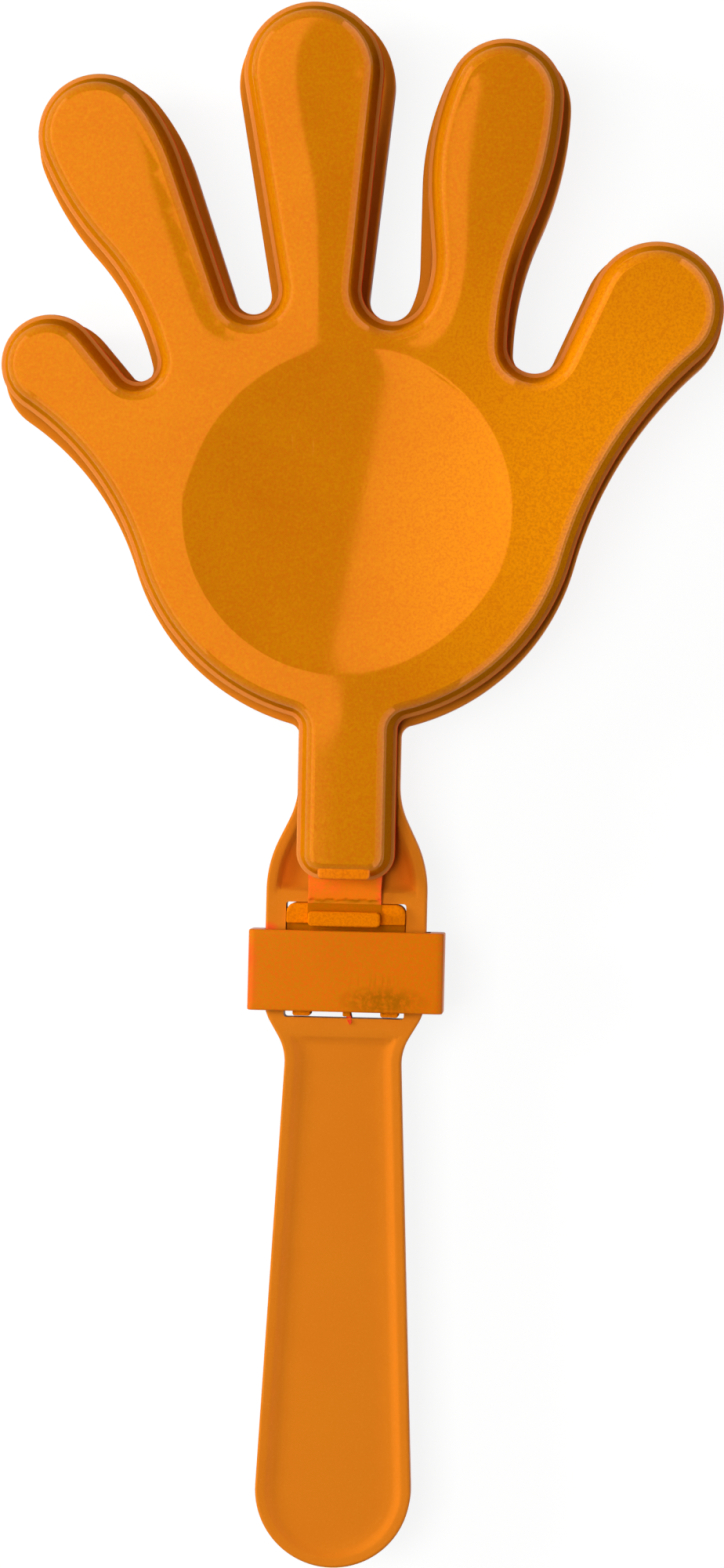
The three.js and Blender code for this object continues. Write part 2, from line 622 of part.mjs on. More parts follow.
function makeSleeve() {
  const innerHalfWidth = SHOULDER_HALF_WIDTH + RUNNING_GAP + SLEEVE_SHIFT;
  const innerHalfDepth = TAB_HEIGHT + RUNNING_GAP;
  const halfWidth = innerHalfWidth + SLEEVE_SIDE_WALL - SLEEVE_BEVEL;
  const halfDepth = innerHalfDepth + SLEEVE_FACE_WALL - SLEEVE_BEVEL;
  const holeWidth = innerHalfWidth + SLEEVE_BEVEL;
  const holeDepth = innerHalfDepth + SLEEVE_BEVEL;
  const shape = roundedRectangle(-halfWidth, halfWidth, -halfDepth, halfDepth, SLEEVE_CORNER - SLEEVE_BEVEL);
  shape.holes.push(roundedRectangle(-holeWidth, holeWidth, -holeDepth, holeDepth,
    SLEEVE_INNER_CORNER + SLEEVE_BEVEL));
  const sleeve = new THREE.ExtrudeGeometry(shape, {
    depth: SLEEVE_LENGTH - 2 * SLEEVE_BEVEL,
    bevelThickness: SLEEVE_BEVEL,
    bevelSize: SLEEVE_BEVEL,
    bevelSegments: 1,
    curveSegments: 4,
  });
  sleeve.rotateX(Math.PI / 2);
  sleeve.translate(SLEEVE_SHIFT, -SLEEVE_DROP - SLEEVE_BEVEL, 0);
  return sleeve;
}

function makeMesh(name, geometry, look) {
  const flat = geometry.index ? geometry.toNonIndexed() : geometry;
  flat.computeVertexNormals();
  const mesh = new THREE.Mesh(flat, new THREE.MeshStandardMaterial(look));
  mesh.name = name;
  return mesh;
}

const hand = makeClappingHand();
const strap = makeStrap();
const tab = makeTab();

const clapper = new THREE.Group();
clapper.add(makeMesh('handle', makeHandle(), gripPlastic));
clapper.add(makeMesh('clip_band', makeSleeve(), sleevePlastic));
clapper.add(makeMesh('front_hinge_strap', strap, strapPlastic));
clapper.add(makeMesh('front_tab', tab, handPlastic));
clapper.add(makeMesh('rear_hinge_strap', mirrored(strap), strapPlastic));
clapper.add(makeMesh('rear_tab', mirrored(tab), handPlastic));
clapper.add(makeMesh('rear_hand', mirrored(hand), handPlastic));

// The front hand is turned about its hinge line, which stays in place.
const frontHand = makeMesh('front_hand', hand.clone().translate(0, 0, -HINGE_HEIGHT), handPlastic);
const frontSwing = new THREE.Group();
frontSwing.position.set(0, 0, HINGE_HEIGHT);
frontSwing.rotation.x = radians(REST_OPEN);
frontSwing.add(frontHand);
clapper.add(frontSwing);

// The finished object stands with the middle of its bounding box's underside at the origin.
const bounds = new THREE.Box3().setFromObject(clapper);
const middle = bounds.getCenter(new THREE.Vector3());
clapper.position.set(-middle.x, -middle.y, -bounds.min.z);

const group = new THREE.Group();
group.add(clapper);
export default group;
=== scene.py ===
# %% [markdown]
# # Hand clapper
# A hand clapper is four plastic mouldings. The flat centre hand and the grip are one. A hollow hand lies on each side
# and swings on a strap so thin that it bends like a hinge. A sleeve round the grip holds the tabs of both straps. The
# frame gives the pieces, bodies and joints; this lesson gives their finished surfaces. All shapes are worked out in
# millimetres on a bench where Y = 0 is the hinge line and Z = 0 the middle of the centre hand.

# %% Load the frame
import json
import math
from functools import partial

import bpy
import numpy as np
from mathutils import Matrix, Vector
from mathutils.geometry import delaunay_2d_cdt


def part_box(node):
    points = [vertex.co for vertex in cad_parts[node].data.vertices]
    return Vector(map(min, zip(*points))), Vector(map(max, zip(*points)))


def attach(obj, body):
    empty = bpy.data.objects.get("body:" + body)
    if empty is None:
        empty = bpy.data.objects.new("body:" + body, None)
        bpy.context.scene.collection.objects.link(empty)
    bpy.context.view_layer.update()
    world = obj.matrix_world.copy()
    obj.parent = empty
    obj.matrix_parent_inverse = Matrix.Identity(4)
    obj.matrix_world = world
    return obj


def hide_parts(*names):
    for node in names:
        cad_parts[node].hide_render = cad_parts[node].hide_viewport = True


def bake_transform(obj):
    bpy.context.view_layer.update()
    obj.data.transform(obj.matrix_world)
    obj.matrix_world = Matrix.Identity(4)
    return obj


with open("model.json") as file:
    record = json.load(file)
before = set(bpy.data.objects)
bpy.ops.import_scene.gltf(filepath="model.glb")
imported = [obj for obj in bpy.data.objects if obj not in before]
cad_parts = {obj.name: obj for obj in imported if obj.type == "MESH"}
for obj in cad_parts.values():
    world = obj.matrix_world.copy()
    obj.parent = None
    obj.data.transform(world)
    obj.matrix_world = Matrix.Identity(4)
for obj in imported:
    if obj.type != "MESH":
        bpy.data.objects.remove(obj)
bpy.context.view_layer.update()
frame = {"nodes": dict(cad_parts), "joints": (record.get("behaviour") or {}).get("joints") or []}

MM = 0.001
joints = {joint["name"]: joint for joint in frame["joints"]}
print("pieces in the frame:", sorted(frame["nodes"]))

# %% [markdown]
# The bench's origin comes from the frame: the tabs are symmetric about the middle of the stem, the joint says where
# the hinge line is, and the handle's box says where its middle plane is.

# %% Find the bench's origin
tab_low, tab_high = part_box("front_tab")
handle_low, handle_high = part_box("handle")
front_joint = joints["front_hand_swing"]
BENCH = np.array([(tab_low.x + tab_high.x) / 2, front_joint["pos_m"][1], (handle_low.z + handle_high.z) / 2])
HINGE_HEIGHT = (front_joint["pos_m"][2] - BENCH[2]) / MM
REST_OPEN = -front_joint["range_deg"][0]


def on_bench(co):
    """Bench millimetres to frame metres: scaled by a thousandth and shifted to the bench's origin."""
    return np.asarray(co) * MM + BENCH


def opened(co, degrees):
    """Bench points turned about the front hinge line: y and z rotate about (0, HINGE_HEIGHT)."""
    cos, sin = math.cos(math.radians(degrees)), math.sin(math.radians(degrees))
    x, y, z = (co - (0, 0, HINGE_HEIGHT)).T
    return np.stack([x, y * cos - z * sin, y * sin + z * cos + HINGE_HEIGHT], 1)


print("hinge", round(HINGE_HEIGHT, 2), "mm above the middle, front hand open by", REST_OPEN, "degrees")

# %% [markdown]
# The camera stands 0.9 m above the palm, a little towards the thumb, and is turned by the small lean that the clapper
# has in the picture. The centre hand's plane fills the picture's height with 280.8 mm.

# %% Camera
VIEW_HEIGHT = 280.8
CAMERA_DISTANCE = 900.0
CAMERA_ASIDE = math.radians(2.5)
CAMERA_ROLL = math.radians(1.35)
VIEW_CENTRE = np.array([2.2, 19.3, 0.0])


def make_camera():
    """Camera on a sphere round the view's centre: offset = distance * (sin aside, 0, cos aside), then rolled."""
    data = bpy.data.cameras.new("camera")
    data.sensor_fit = "VERTICAL"
    data.lens = data.sensor_height * CAMERA_DISTANCE / VIEW_HEIGHT
    data.clip_start = 0.05
    data.clip_end = 20
    camera = bpy.data.objects.new("camera", data)
    back = Vector((math.sin(CAMERA_ASIDE), 0, math.cos(CAMERA_ASIDE)))
    up = Vector((-math.sin(CAMERA_ROLL), math.cos(CAMERA_ROLL), 0))
    right = up.cross(back).normalized()
    up = back.cross(right)
    turn = Matrix((right, up, back)).transposed().to_4x4()
    place = Vector(on_bench(VIEW_CENTRE)) + back * CAMERA_DISTANCE * MM
    camera.matrix_world = Matrix.Translation(place) @ turn
    bpy.context.scene.collection.objects.link(camera)
    bpy.context.scene.camera = camera
    print("lens", round(data.lens, 1), "mm")


make_camera()

# %% [markdown]
# ## Outlines
# Every outline is a belt drawn round circles: fingertips and palm push it out, and the webs between the fingers push
# it in. The belt gives points and outward normals, and a profile of insets and heights carried round it gives walls
# and rounded edges.

# %% Belts
LARGEST_ARC = 5.6
FINEST_TURN = math.radians(6)


def belt(circles, spacing=1.0):
    """Points and outward normals along the belt round circles (x, y, r), counterclockwise; r < 0 is concave.
    The belt leaves circle a for circle b at the angle atan2(b - a) - acos((ra - rb) / distance)."""
    circles = np.array(circles, float)
    step = np.roll(circles, -1, axis=0)[:, :2] - circles[:, :2]
    share = (circles[:, 2] - np.roll(circles[:, 2], -1)) / np.hypot(step[:, 0], step[:, 1])
    leave = np.arctan2(step[:, 1], step[:, 0]) - np.arccos(np.clip(share, -1, 1))
    arrive = np.roll(leave, 1)
    turn = np.mod(leave - arrive, 2 * math.pi)
    turn = np.where((circles[:, 2] < 0) | (turn > LARGEST_ARC), turn - 2 * math.pi, turn)
    turn = np.where(turn < -LARGEST_ARC, turn + 2 * math.pi, turn)
    arcs = []
    for (x, y, r), start, sweep in zip(circles, arrive, turn):
        count = 1 + max(math.ceil(abs(sweep * r) / spacing), math.ceil(abs(sweep) / FINEST_TURN))
        angle = np.linspace(start, start + sweep, count + 1)
        normal = np.stack([np.cos(angle), np.sin(angle)], 1)
        arcs.append(np.hstack([np.array([x, y]) + r * normal, normal]))
    parts = []
    for arc, following in zip(arcs, arcs[1:] + arcs[:1]):
        gap = following[0, :2] - arc[-1, :2]
        count = math.ceil(np.hypot(*gap) / spacing)
        share = np.arange(1, count)[:, None] / max(count, 1)
        straight = np.hstack([arc[-1, :2] + share * gap, np.repeat(arc[-1:, 2:], len(share), axis=0)])
        parts += [arc, straight]
    path = np.concatenate(parts)
    step = path[:, :2] - np.roll(path[:, :2], 1, axis=0)
    return path[np.hypot(step[:, 0], step[:, 1]) > 1e-3]


def inward(path, inset):
    """A path's points moved in from the outline: point - inset * normal."""
    return path[:, :2] - inset * path[:, 2:]


def rounded_rectangle(x_min, x_max, y_min, y_max, corner):
    """Circles of a rectangle's four corners, counterclockwise from the lower left."""
    x = (x_min + corner, x_max - corner)
    y = (y_min + corner, y_max - corner)
    return [(x[i], y[j], corner) for i, j in ((0, 0), (1, 0), (1, 1), (0, 1))]


# %% [markdown]
# The belt meets the palm and then each finger from the thumb to the little one. Long arcs make the soft finger sides,
# and hollow arcs run from finger to palm.

# %% Hand and grip outlines
PALM = (-0.2, 69.2, 40.8)
# the centre hand's x, y and radius, and how far those of the clapping hands differ
FINGERS = {
    "thumb": (52.1, 103.6, 12.5, 0.7, 0, 0.65),
    "index": (25.2, 140.2, 11.6, 0.05, -0.1, 0.1),
    "middle": (-8.6, 144.0, 13.9, 0, 0, -0.2),
    "ring": (-46.1, 132.1, 12.0, -0.35, 0.15, 0.15),
    "pinky": (-53.4, 90.9, 9.9, -1.0, 0.8, 0.25),
    "thumb_web": (31.2, 96.6, 3.8, 0.2, 0.05, -0.25),
    "index_web": (5.5, 105.9, 3.9, 0.7, 0.2, 0.4),
    "middle_web": (-19.1, 106.0, 3.2, 0.35, -0.45, 0.05),
    "ring_web": (-38.9, 92.5, 2.1, 0, -0.1, 0.05),
}
CENTRE_FINGERS = {name: row[:3] for name, row in FINGERS.items()}
CLAPPING_FINGERS = {name: tuple(np.add(row[:3], row[3:]).tolist()) for name, row in FINGERS.items()}
THUMB_SIDE_RADIUS = 72
PINKY_SIDE_RADIUS = 49
INDEX_HOLLOW_RADIUS = 54
INDEX_ROOT_RADIUS = 17.4
INDEX_ROOT_TURN = 156
RING_HOLLOW_RADIUS = 43.5
INDEX_OUTER_FLANK = (62.5, -2)
INDEX_INNER_FLANK = (47.5, 156.5)
RING_INNER_FLANK = (37.5, 40.5)
RING_OUTER_FLANK = (53.5, 203)
PALM_FILLET = 2.2
STEM_HALF_WIDTH = 9.05
FINGER_SETBACK = 1.3
PALM_SETBACK = 0.5
STEM_SETBACK = 0.25
HAND_ADVANCE = 1.0
MOULDING_SHIFT = -0.25


def along(circle, reach, degrees):
    """The point at a distance and a direction from a circle's centre."""
    return circle[0] + reach * math.cos(math.radians(degrees)), circle[1] + reach * math.sin(math.radians(degrees))


def hollow_between(a, b, radius):
    """A concave arc that touches two circles: its centre is radius + r away from both, on the right of a to b."""
    from_a, from_b = a[2] + radius, b[2] + radius
    dx, dy = b[0] - a[0], b[1] - a[1]
    apart = math.hypot(dx, dy)
    forward = (from_a ** 2 - from_b ** 2 + apart ** 2) / (2 * apart)
    aside = math.sqrt(max(0, from_a ** 2 - forward ** 2))
    return (a[0] + (dx * forward + dy * aside) / apart, a[1] + (dy * forward - dx * aside) / apart, -radius)


def hand_circles(fingers, palm_setback, setback, advance, stem_x, stem_half_width):
    """The hand's circles from the palm's foot on the right to its foot on the left, moved along Y by advance."""
    def tip(name):
        x, y, r = fingers[name]
        return x, y, r - setback

    def web(name):
        x, y, r = fingers[name + "_web"]
        return x, y, -r - setback

    def flank(name, side):
        return *along(fingers[name], fingers[name][2] - side[0], side[1]), side[0] - setback

    palm = (PALM[0], PALM[1], PALM[2] - palm_setback)
    index_outer = flank("index", INDEX_OUTER_FLANK)
    ring_outer = flank("ring", RING_OUTER_FLANK)
    root = fingers["index_web"]
    index_root = (*along(root, INDEX_ROOT_RADIUS - root[2], INDEX_ROOT_TURN), -INDEX_ROOT_RADIUS - setback)
    outline = [
        palm, hollow_between(palm, tip("thumb"), THUMB_SIDE_RADIUS + setback), tip("thumb"), web("thumb"),
        hollow_between(web("thumb"), index_outer, INDEX_HOLLOW_RADIUS + setback), index_outer, tip("index"),
        flank("index", INDEX_INNER_FLANK), index_root, web("index"), tip("middle"), web("middle"),
        flank("ring", RING_INNER_FLANK), tip("ring"), ring_outer,
        hollow_between(ring_outer, web("ring"), RING_HOLLOW_RADIUS + setback), web("ring"), tip("pinky"),
        hollow_between(tip("pinky"), palm, PINKY_SIDE_RADIUS + setback), palm,
    ]
    outline = [(x, y + advance, r) for x, y, r in outline]
    foot = outline[0]
    reach = foot[2] + PALM_FILLET
    aside = stem_half_width + PALM_FILLET
    fillets = [(x, foot[1] - math.sqrt(reach ** 2 - (x - foot[0]) ** 2), -PALM_FILLET)
               for x in (stem_x + aside, stem_x - aside)]
    return [fillets[0], *outline, fillets[1]]


STEM_END_CORNER = 4.8
HINGE_REACH = 2.2
clapping_half_width = STEM_HALF_WIDTH - STEM_SETBACK
corner_reach = clapping_half_width - STEM_END_CORNER
clapping_path = belt([
    *[(MOULDING_SHIFT + x, HINGE_REACH + STEM_END_CORNER, STEM_END_CORNER) for x in (-corner_reach, corner_reach)],
    *hand_circles(CLAPPING_FINGERS, PALM_SETBACK, FINGER_SETBACK, HAND_ADVANCE, MOULDING_SHIFT, clapping_half_width),
])

SHOULDER_HALF_WIDTH = 14.35
NECK_HALF_WIDTH = 10.4
GRIP_END_RADIUS = 13.9
GRIP_LENGTH = 120.8
SHOULDER_DROP = 19.2
FLARE = (21, 15)
DRAW_IN = (8.4, 9.1)
BEND_STRAIGHT = 0.4


def bend_length(step, radii):
    """How far two arcs of an S-bend lie apart along Y when it steps a side by so much."""
    return math.sqrt(2 * sum(radii) * step - step ** 2) + BEND_STRAIGHT


def grip_side(side):
    """One side of the grip from the neck up to the stem."""
    flare = bend_length(SHOULDER_HALF_WIDTH - STEM_HALF_WIDTH, FLARE)
    draw_in = bend_length(SHOULDER_HALF_WIDTH - NECK_HALF_WIDTH, DRAW_IN)
    return [(side * (NECK_HALF_WIDTH + DRAW_IN[1]), -SHOULDER_DROP - draw_in, -DRAW_IN[1]),
            (side * (SHOULDER_HALF_WIDTH - DRAW_IN[0]), -SHOULDER_DROP, DRAW_IN[0]),
            (side * (SHOULDER_HALF_WIDTH - FLARE[0]), 0, FLARE[0]),
            (side * (STEM_HALF_WIDTH + FLARE[1]), flare, -FLARE[1])]


handle_path = belt([(0, GRIP_END_RADIUS - GRIP_LENGTH, GRIP_END_RADIUS), *grip_side(1),
                    *hand_circles(CENTRE_FINGERS, 0, 0, 0, 0, STEM_HALF_WIDTH), *grip_side(-1)[::-1]])
print("outline points:", len(clapping_path), "on a clapping hand,", len(handle_path), "on the handle")

# %% [markdown]
# ## Skins
# A skin collects rings of points and the strips of faces between them. A broad face is filled with an even mesh of
# points whose heights come from a formula, so that shallow crowns, dishes and pockets come out smooth.

# %% Skin helpers


class Skin:
    """Points and faces of one closed piece, in bench millimetres."""

    def __init__(self):
        self.rows = []
        self.faces = []
        self.count = 0

    def add(self, xy, z):
        """Points (x, y) at heights z; returns their numbers."""
        co = np.column_stack([xy, np.broadcast_to(z, len(xy))])
        self.rows.append(co)
        self.count += len(co)
        return np.arange(self.count - len(co), self.count)

    def strip(self, a, b):
        """Quads between two closed rings of points; they face outwards when b lies above a."""
        self.faces += np.stack([a, np.roll(a, -1), np.roll(b, -1), b], 1).tolist()

    def loft(self, rows, closed=False, capped=False):
        """Rings (xy, z) joined one to the next. Closed, the last is joined to the first; capped, both get a face."""
        rings = [self.add(xy, z) for xy, z in rows]
        for a, b in zip(rings, rings[1:] + rings[:1] * closed):
            self.strip(a, b)
        if capped:
            self.faces += [rings[0][::-1].tolist(), rings[-1].tolist()]
        return rings

    def carry(self, path, profile, **ends):
        """A profile of (inset, height) pairs carried round a path."""
        return self.loft([(inward(path, inset), z) for inset, z in profile], **ends)

    def slab(self, points, triangles, top, bottom):
        """A filled region twice, facing up at top and down at bottom; returns the numbers of both sets of points."""
        upper, lower = self.add(points, top), self.add(points, bottom)
        self.faces += [*upper[triangles].tolist(), *lower[triangles[:, ::-1]].tolist()]
        return upper, lower

    def mesh(self):
        """All points and all faces."""
        return np.concatenate(self.rows), self.faces


def distances(xy, path):
    """Distances from each point to each point of a path."""
    return np.hypot(xy[:, None, 0] - path[None, :, 0], xy[:, None, 1] - path[None, :, 1])


def in_blocks(function, xy, size=2000):
    """The function applied to the points a block at a time, to keep the arrays small."""
    return np.concatenate([function(xy[i:i + size]) for i in range(0, len(xy), size)])


def nearest(xy, path):
    """Each point's distance to the nearest point of a path."""
    return in_blocks(lambda p: distances(p, path).min(axis=1), xy)


def inside(xy, ring):
    """True where a ray along +X from the point crosses the ring an odd number of times."""
    a = ring
    b = np.roll(ring, -1, axis=0)

    def block(p):
        above_a = a[None, :, 1] > p[:, None, 1]
        above_b = b[None, :, 1] > p[:, None, 1]
        rise = np.where(a[:, 1] == b[:, 1], 1, b[:, 1] - a[:, 1])
        x_cross = a[:, 0] + (p[:, None, 1] - a[:, 1]) * (b[:, 0] - a[:, 0]) / rise
        return (np.sum((above_a != above_b) & (x_cross > p[:, None, 0]), axis=1) % 2) == 1

    return in_blocks(block, xy)


def grid_inside(ring, spacing, clearance):
    """An even grid of points inside a ring, with every second row shifted by half a step."""
    low = ring.min(axis=0)
    high = ring.max(axis=0)
    row_step = spacing * math.sqrt(3) / 2
    x, y = np.meshgrid(np.arange(low[0], high[0], spacing), np.arange(low[1], high[1], row_step))
    x = x + (np.arange(len(x)) % 2)[:, None] * spacing / 2
    xy = np.column_stack([x.ravel(), y.ravel()])
    xy = xy[inside(xy, ring)]
    return xy[nearest(xy, ring) > clearance]


def fill(loops, loose):
    """Triangles over the region bounded by closed loops, using the loops' points and the loose ones."""
    points = np.concatenate([*loops, loose])
    first = np.cumsum([0] + [len(loop) for loop in loops[:-1]])
    faces = [list(range(start, start + len(loop))) for start, loop in zip(first, loops)]
    result = delaunay_2d_cdt([Vector(p) for p in points.tolist()], [], faces, 1 if len(loops) == 1 else 2, 1e-6)
    source = np.array([origin[0] if origin else -1 for origin in result[3]])
    triangles = source[np.array([face for face in result[2] if len(face) == 3])]
    triangles = triangles[(triangles >= 0).all(axis=1)]
    a, b, c = (points[triangles[:, i]] for i in range(3))
    area = (b[:, 0] - a[:, 0]) * (c[:, 1] - a[:, 1]) - (b[:, 1] - a[:, 1]) * (c[:, 0] - a[:, 0])
    triangles[area < 0] = triangles[area < 0][:, ::-1]
    return points, triangles


CREASE = math.radians(38)


def new_piece(name, co, faces):
    """A mesh object from bench points, placed in the frame and smooth up to the angle CREASE."""
    mesh = bpy.data.meshes.new(name)
    mesh.from_pydata(on_bench(co).tolist(), [], faces)
    mesh.validate()
    mesh.polygons.foreach_set("use_smooth", np.ones(len(mesh.polygons), bool))
    mesh.set_sharp_from_angle(angle=CREASE)
    mesh.update()
    piece = bpy.data.objects.new(name, mesh)
    bpy.context.scene.collection.objects.link(piece)
    print(name, len(mesh.vertices), "points,", len(mesh.polygons), "faces")
    return piece


def new_pair(name, skin, marks=(), degrees=0):
    """A piece at the front, opened by some degrees, and its mirror image at the rear. marks are numbers for each
    point that the material reads by name."""
    co, faces = skin.mesh()
    pair = (new_piece("front_" + name, opened(co, degrees), faces),
            new_piece("rear_" + name, co * (1, 1, -1), [face[::-1] for face in faces]))
    for piece in pair:
        for key, values in dict(marks).items():
            attribute = piece.data.attributes.new(key, "FLOAT", "POINT")
            attribute.data.foreach_set("value", np.asarray(values, np.float32))
    return pair


# %% [markdown]
# ## The clapping hands
# A clapping hand is a thin shell, open on the side that claps. It has a small lip, a steep matt wall, a narrow
# rounded band and a face that is not quite flat: it swells two tenths of a millimetre towards the middle of each
# finger, which bends the reflections, and it has a shallow round dish in the palm.

# %% Face of a clapping hand
RIM_PLANE = 3.0
HAND_HEIGHT = 7.5
SHELL_WALL = 1.2
LIP_WIDTH = 0.8
LIP_HEIGHT = 0.95
LIP_ROUND = 0.35
LIP_FOOT = 0.2
RED_RINGS = 5
WALL_DRAFT = 0.95
BAND_RADIUS = 3.6
BAND_NORMALS = np.radians(np.linspace(56, 23, 6))
BAND_START_MOVE = (0.05, 0.09)
BAND_END_MOVE = (-0.09, -0.03)
FACE_STEP = 0.12
CROWN_RADIUS = 225.0
CROWN_REACH = 10.0
CROWN = CROWN_REACH ** 2 / (2 * CROWN_RADIUS)
WALL_TOP_INSET = LIP_WIDTH + WALL_DRAFT
FACE_INSET = WALL_TOP_INSET + BAND_RADIUS * (math.sin(BAND_NORMALS[0]) - math.sin(BAND_NORMALS[-1]))
FACE_EDGE_HEIGHT = HAND_HEIGHT - CROWN
WALL_TOP = FACE_EDGE_HEIGHT - BAND_RADIUS * (math.cos(BAND_NORMALS[-1]) - math.cos(BAND_NORMALS[0]))
DISH_CENTRE = np.array([PALM[0] - 0.8, PALM[1] + HAND_ADVANCE - 2.2])
DISH_DEPTH = 1.6
DISH_LAND = 1.7
DISH_EDGE = 0.5
DISH_RINGS = (-1.2, -0.6, -0.25, 0, 0.25, 0.6, 1.2)
DISH_RINGS_CLEAR = 1.8
FACE_GRID = (1.5, 0.8)
DISH_TWIST = 0.134
DISH_LEAN = 0.05
CROWN_STARTS = (24.0, 44.0)
MIDDLE_LEAN = 0.12
LEAN_STARTS = (117.0, 141.0)
LEAN_LEFT_OF_TIP = 2.5
LEAN_REACH = 16
SOFT_POWER = 6
SOFT_CONSTANT = math.sqrt(math.pi) * math.gamma((SOFT_POWER - 1) / 2) / math.gamma(SOFT_POWER / 2)


def soft_distance(xy, path):
    """A distance to the outline with no crease along the middle of a finger: the sum over the outline of length /
    distance ** 6, brought back to a length, which near a straight side equals the true distance."""
    ring = path[:, :2]
    weight = np.hypot(*(np.roll(ring, -1, axis=0) - np.roll(ring, 1, axis=0)).T) / 2

    def block(p):
        total = np.sum(weight / np.maximum(distances(p, ring), 0.3) ** SOFT_POWER, axis=1)
        return (total / SOFT_CONSTANT) ** (-1 / (SOFT_POWER - 1))

    return in_blocks(block, xy)


def smooth(y, limits):
    """0 below the lower limit, 1 above the upper one, and 3 t ** 2 - 2 t ** 3 between."""
    t = np.clip((y - limits[0]) / (limits[1] - limits[0]), 0, 1)
    return t * t * (3 - 2 * t)


def dish_drop(away, radius):
    """Depth of the dish at an offset (x, y) from its middle: a parabola 1 - r ** 2 with its edge rounded over
    DISH_EDGE. A twist 2 * x * y and a lean in x, as the mould has them, die out at the edge as 1 - r ** 20."""
    x, y = away.T / radius
    square = x ** 2 + y ** 2
    uneven = (2 * DISH_TWIST * y + DISH_LEAN) * x * np.clip(1 - square ** 10, 0, 1)
    depth = DISH_DEPTH * (1 - square + uneven)
    return (depth + np.sqrt(depth ** 2 + (DISH_EDGE * DISH_DEPTH / radius) ** 2)) / 2


def hand_height(xy, path, dish_radius):
    """Height of the face: a crown that rises as 1 - (1 - s) ** 2 over CROWN_REACH from the edge, less the dish. The
    stem has no crown, and the middle fingertip's crown falls off to the right, by MIDDLE_LEAN per millimetre."""
    s = np.clip((soft_distance(xy, path) - FACE_INSET) / CROWN_REACH, 0, 1)
    crown = CROWN * (1 - (1 - s) ** 2) * smooth(xy[:, 1], CROWN_STARTS)
    aside = xy[:, 0] - CLAPPING_FINGERS["middle"][0] + LEAN_LEFT_OF_TIP
    lean = np.where(np.abs(aside) < LEAN_REACH, MIDDLE_LEAN * aside, 0)
    crown *= 1 - lean * smooth(xy[:, 1], LEAN_STARTS)
    return FACE_EDGE_HEIGHT + crown - dish_drop(xy - DISH_CENTRE, dish_radius)


# %% [markdown]
# The shell is one closed skin: round the lip, up the wall, over the face, and back inside, a wall's thickness lower.
# A stop bar stands on the rounded end of the stem.

# %% Clapping hand's skin
HAND_STOP = (MOULDING_SHIFT - 4.65, MOULDING_SHIFT + 4.65, 2.75, 5.0)
STOP_CORNER = 0.8
STOP_ROUND = 0.35
HAND_STOP_TOP = HAND_HEIGHT - 0.8


def quarter_round(top, radius, steps=4):
    """Profile points of a rounded edge at the top of an upright wall."""
    angle = np.linspace(0, math.pi / 2, steps + 1)
    return list(zip(radius * (1 - np.cos(angle)), top + radius * (np.sin(angle) - 1)))


def add_bar(skin, rectangle, bottom, top, corner, rounding):
    """A small block with rounded corners and a rounded top edge."""
    profile = [(0, bottom), *quarter_round(top, rounding), (rounding + 0.05, top)]
    skin.carry(belt(rounded_rectangle(*rectangle, corner), 0.3), profile, capped=True)


def edge_band():
    """Profile of the band between wall and face: an arc whose normal turns from 56 to 23 degrees off the vertical. Its
    ends are moved a little, so that its mirrored light has crisp borders."""
    inset = WALL_TOP_INSET + BAND_RADIUS * (math.sin(BAND_NORMALS[0]) - np.sin(BAND_NORMALS))
    height = WALL_TOP + BAND_RADIUS * (np.cos(BAND_NORMALS) - math.cos(BAND_NORMALS[0]))
    band = np.column_stack([inset, height])
    band[0] += BAND_START_MOVE
    band[-1] += BAND_END_MOVE
    return band.tolist()


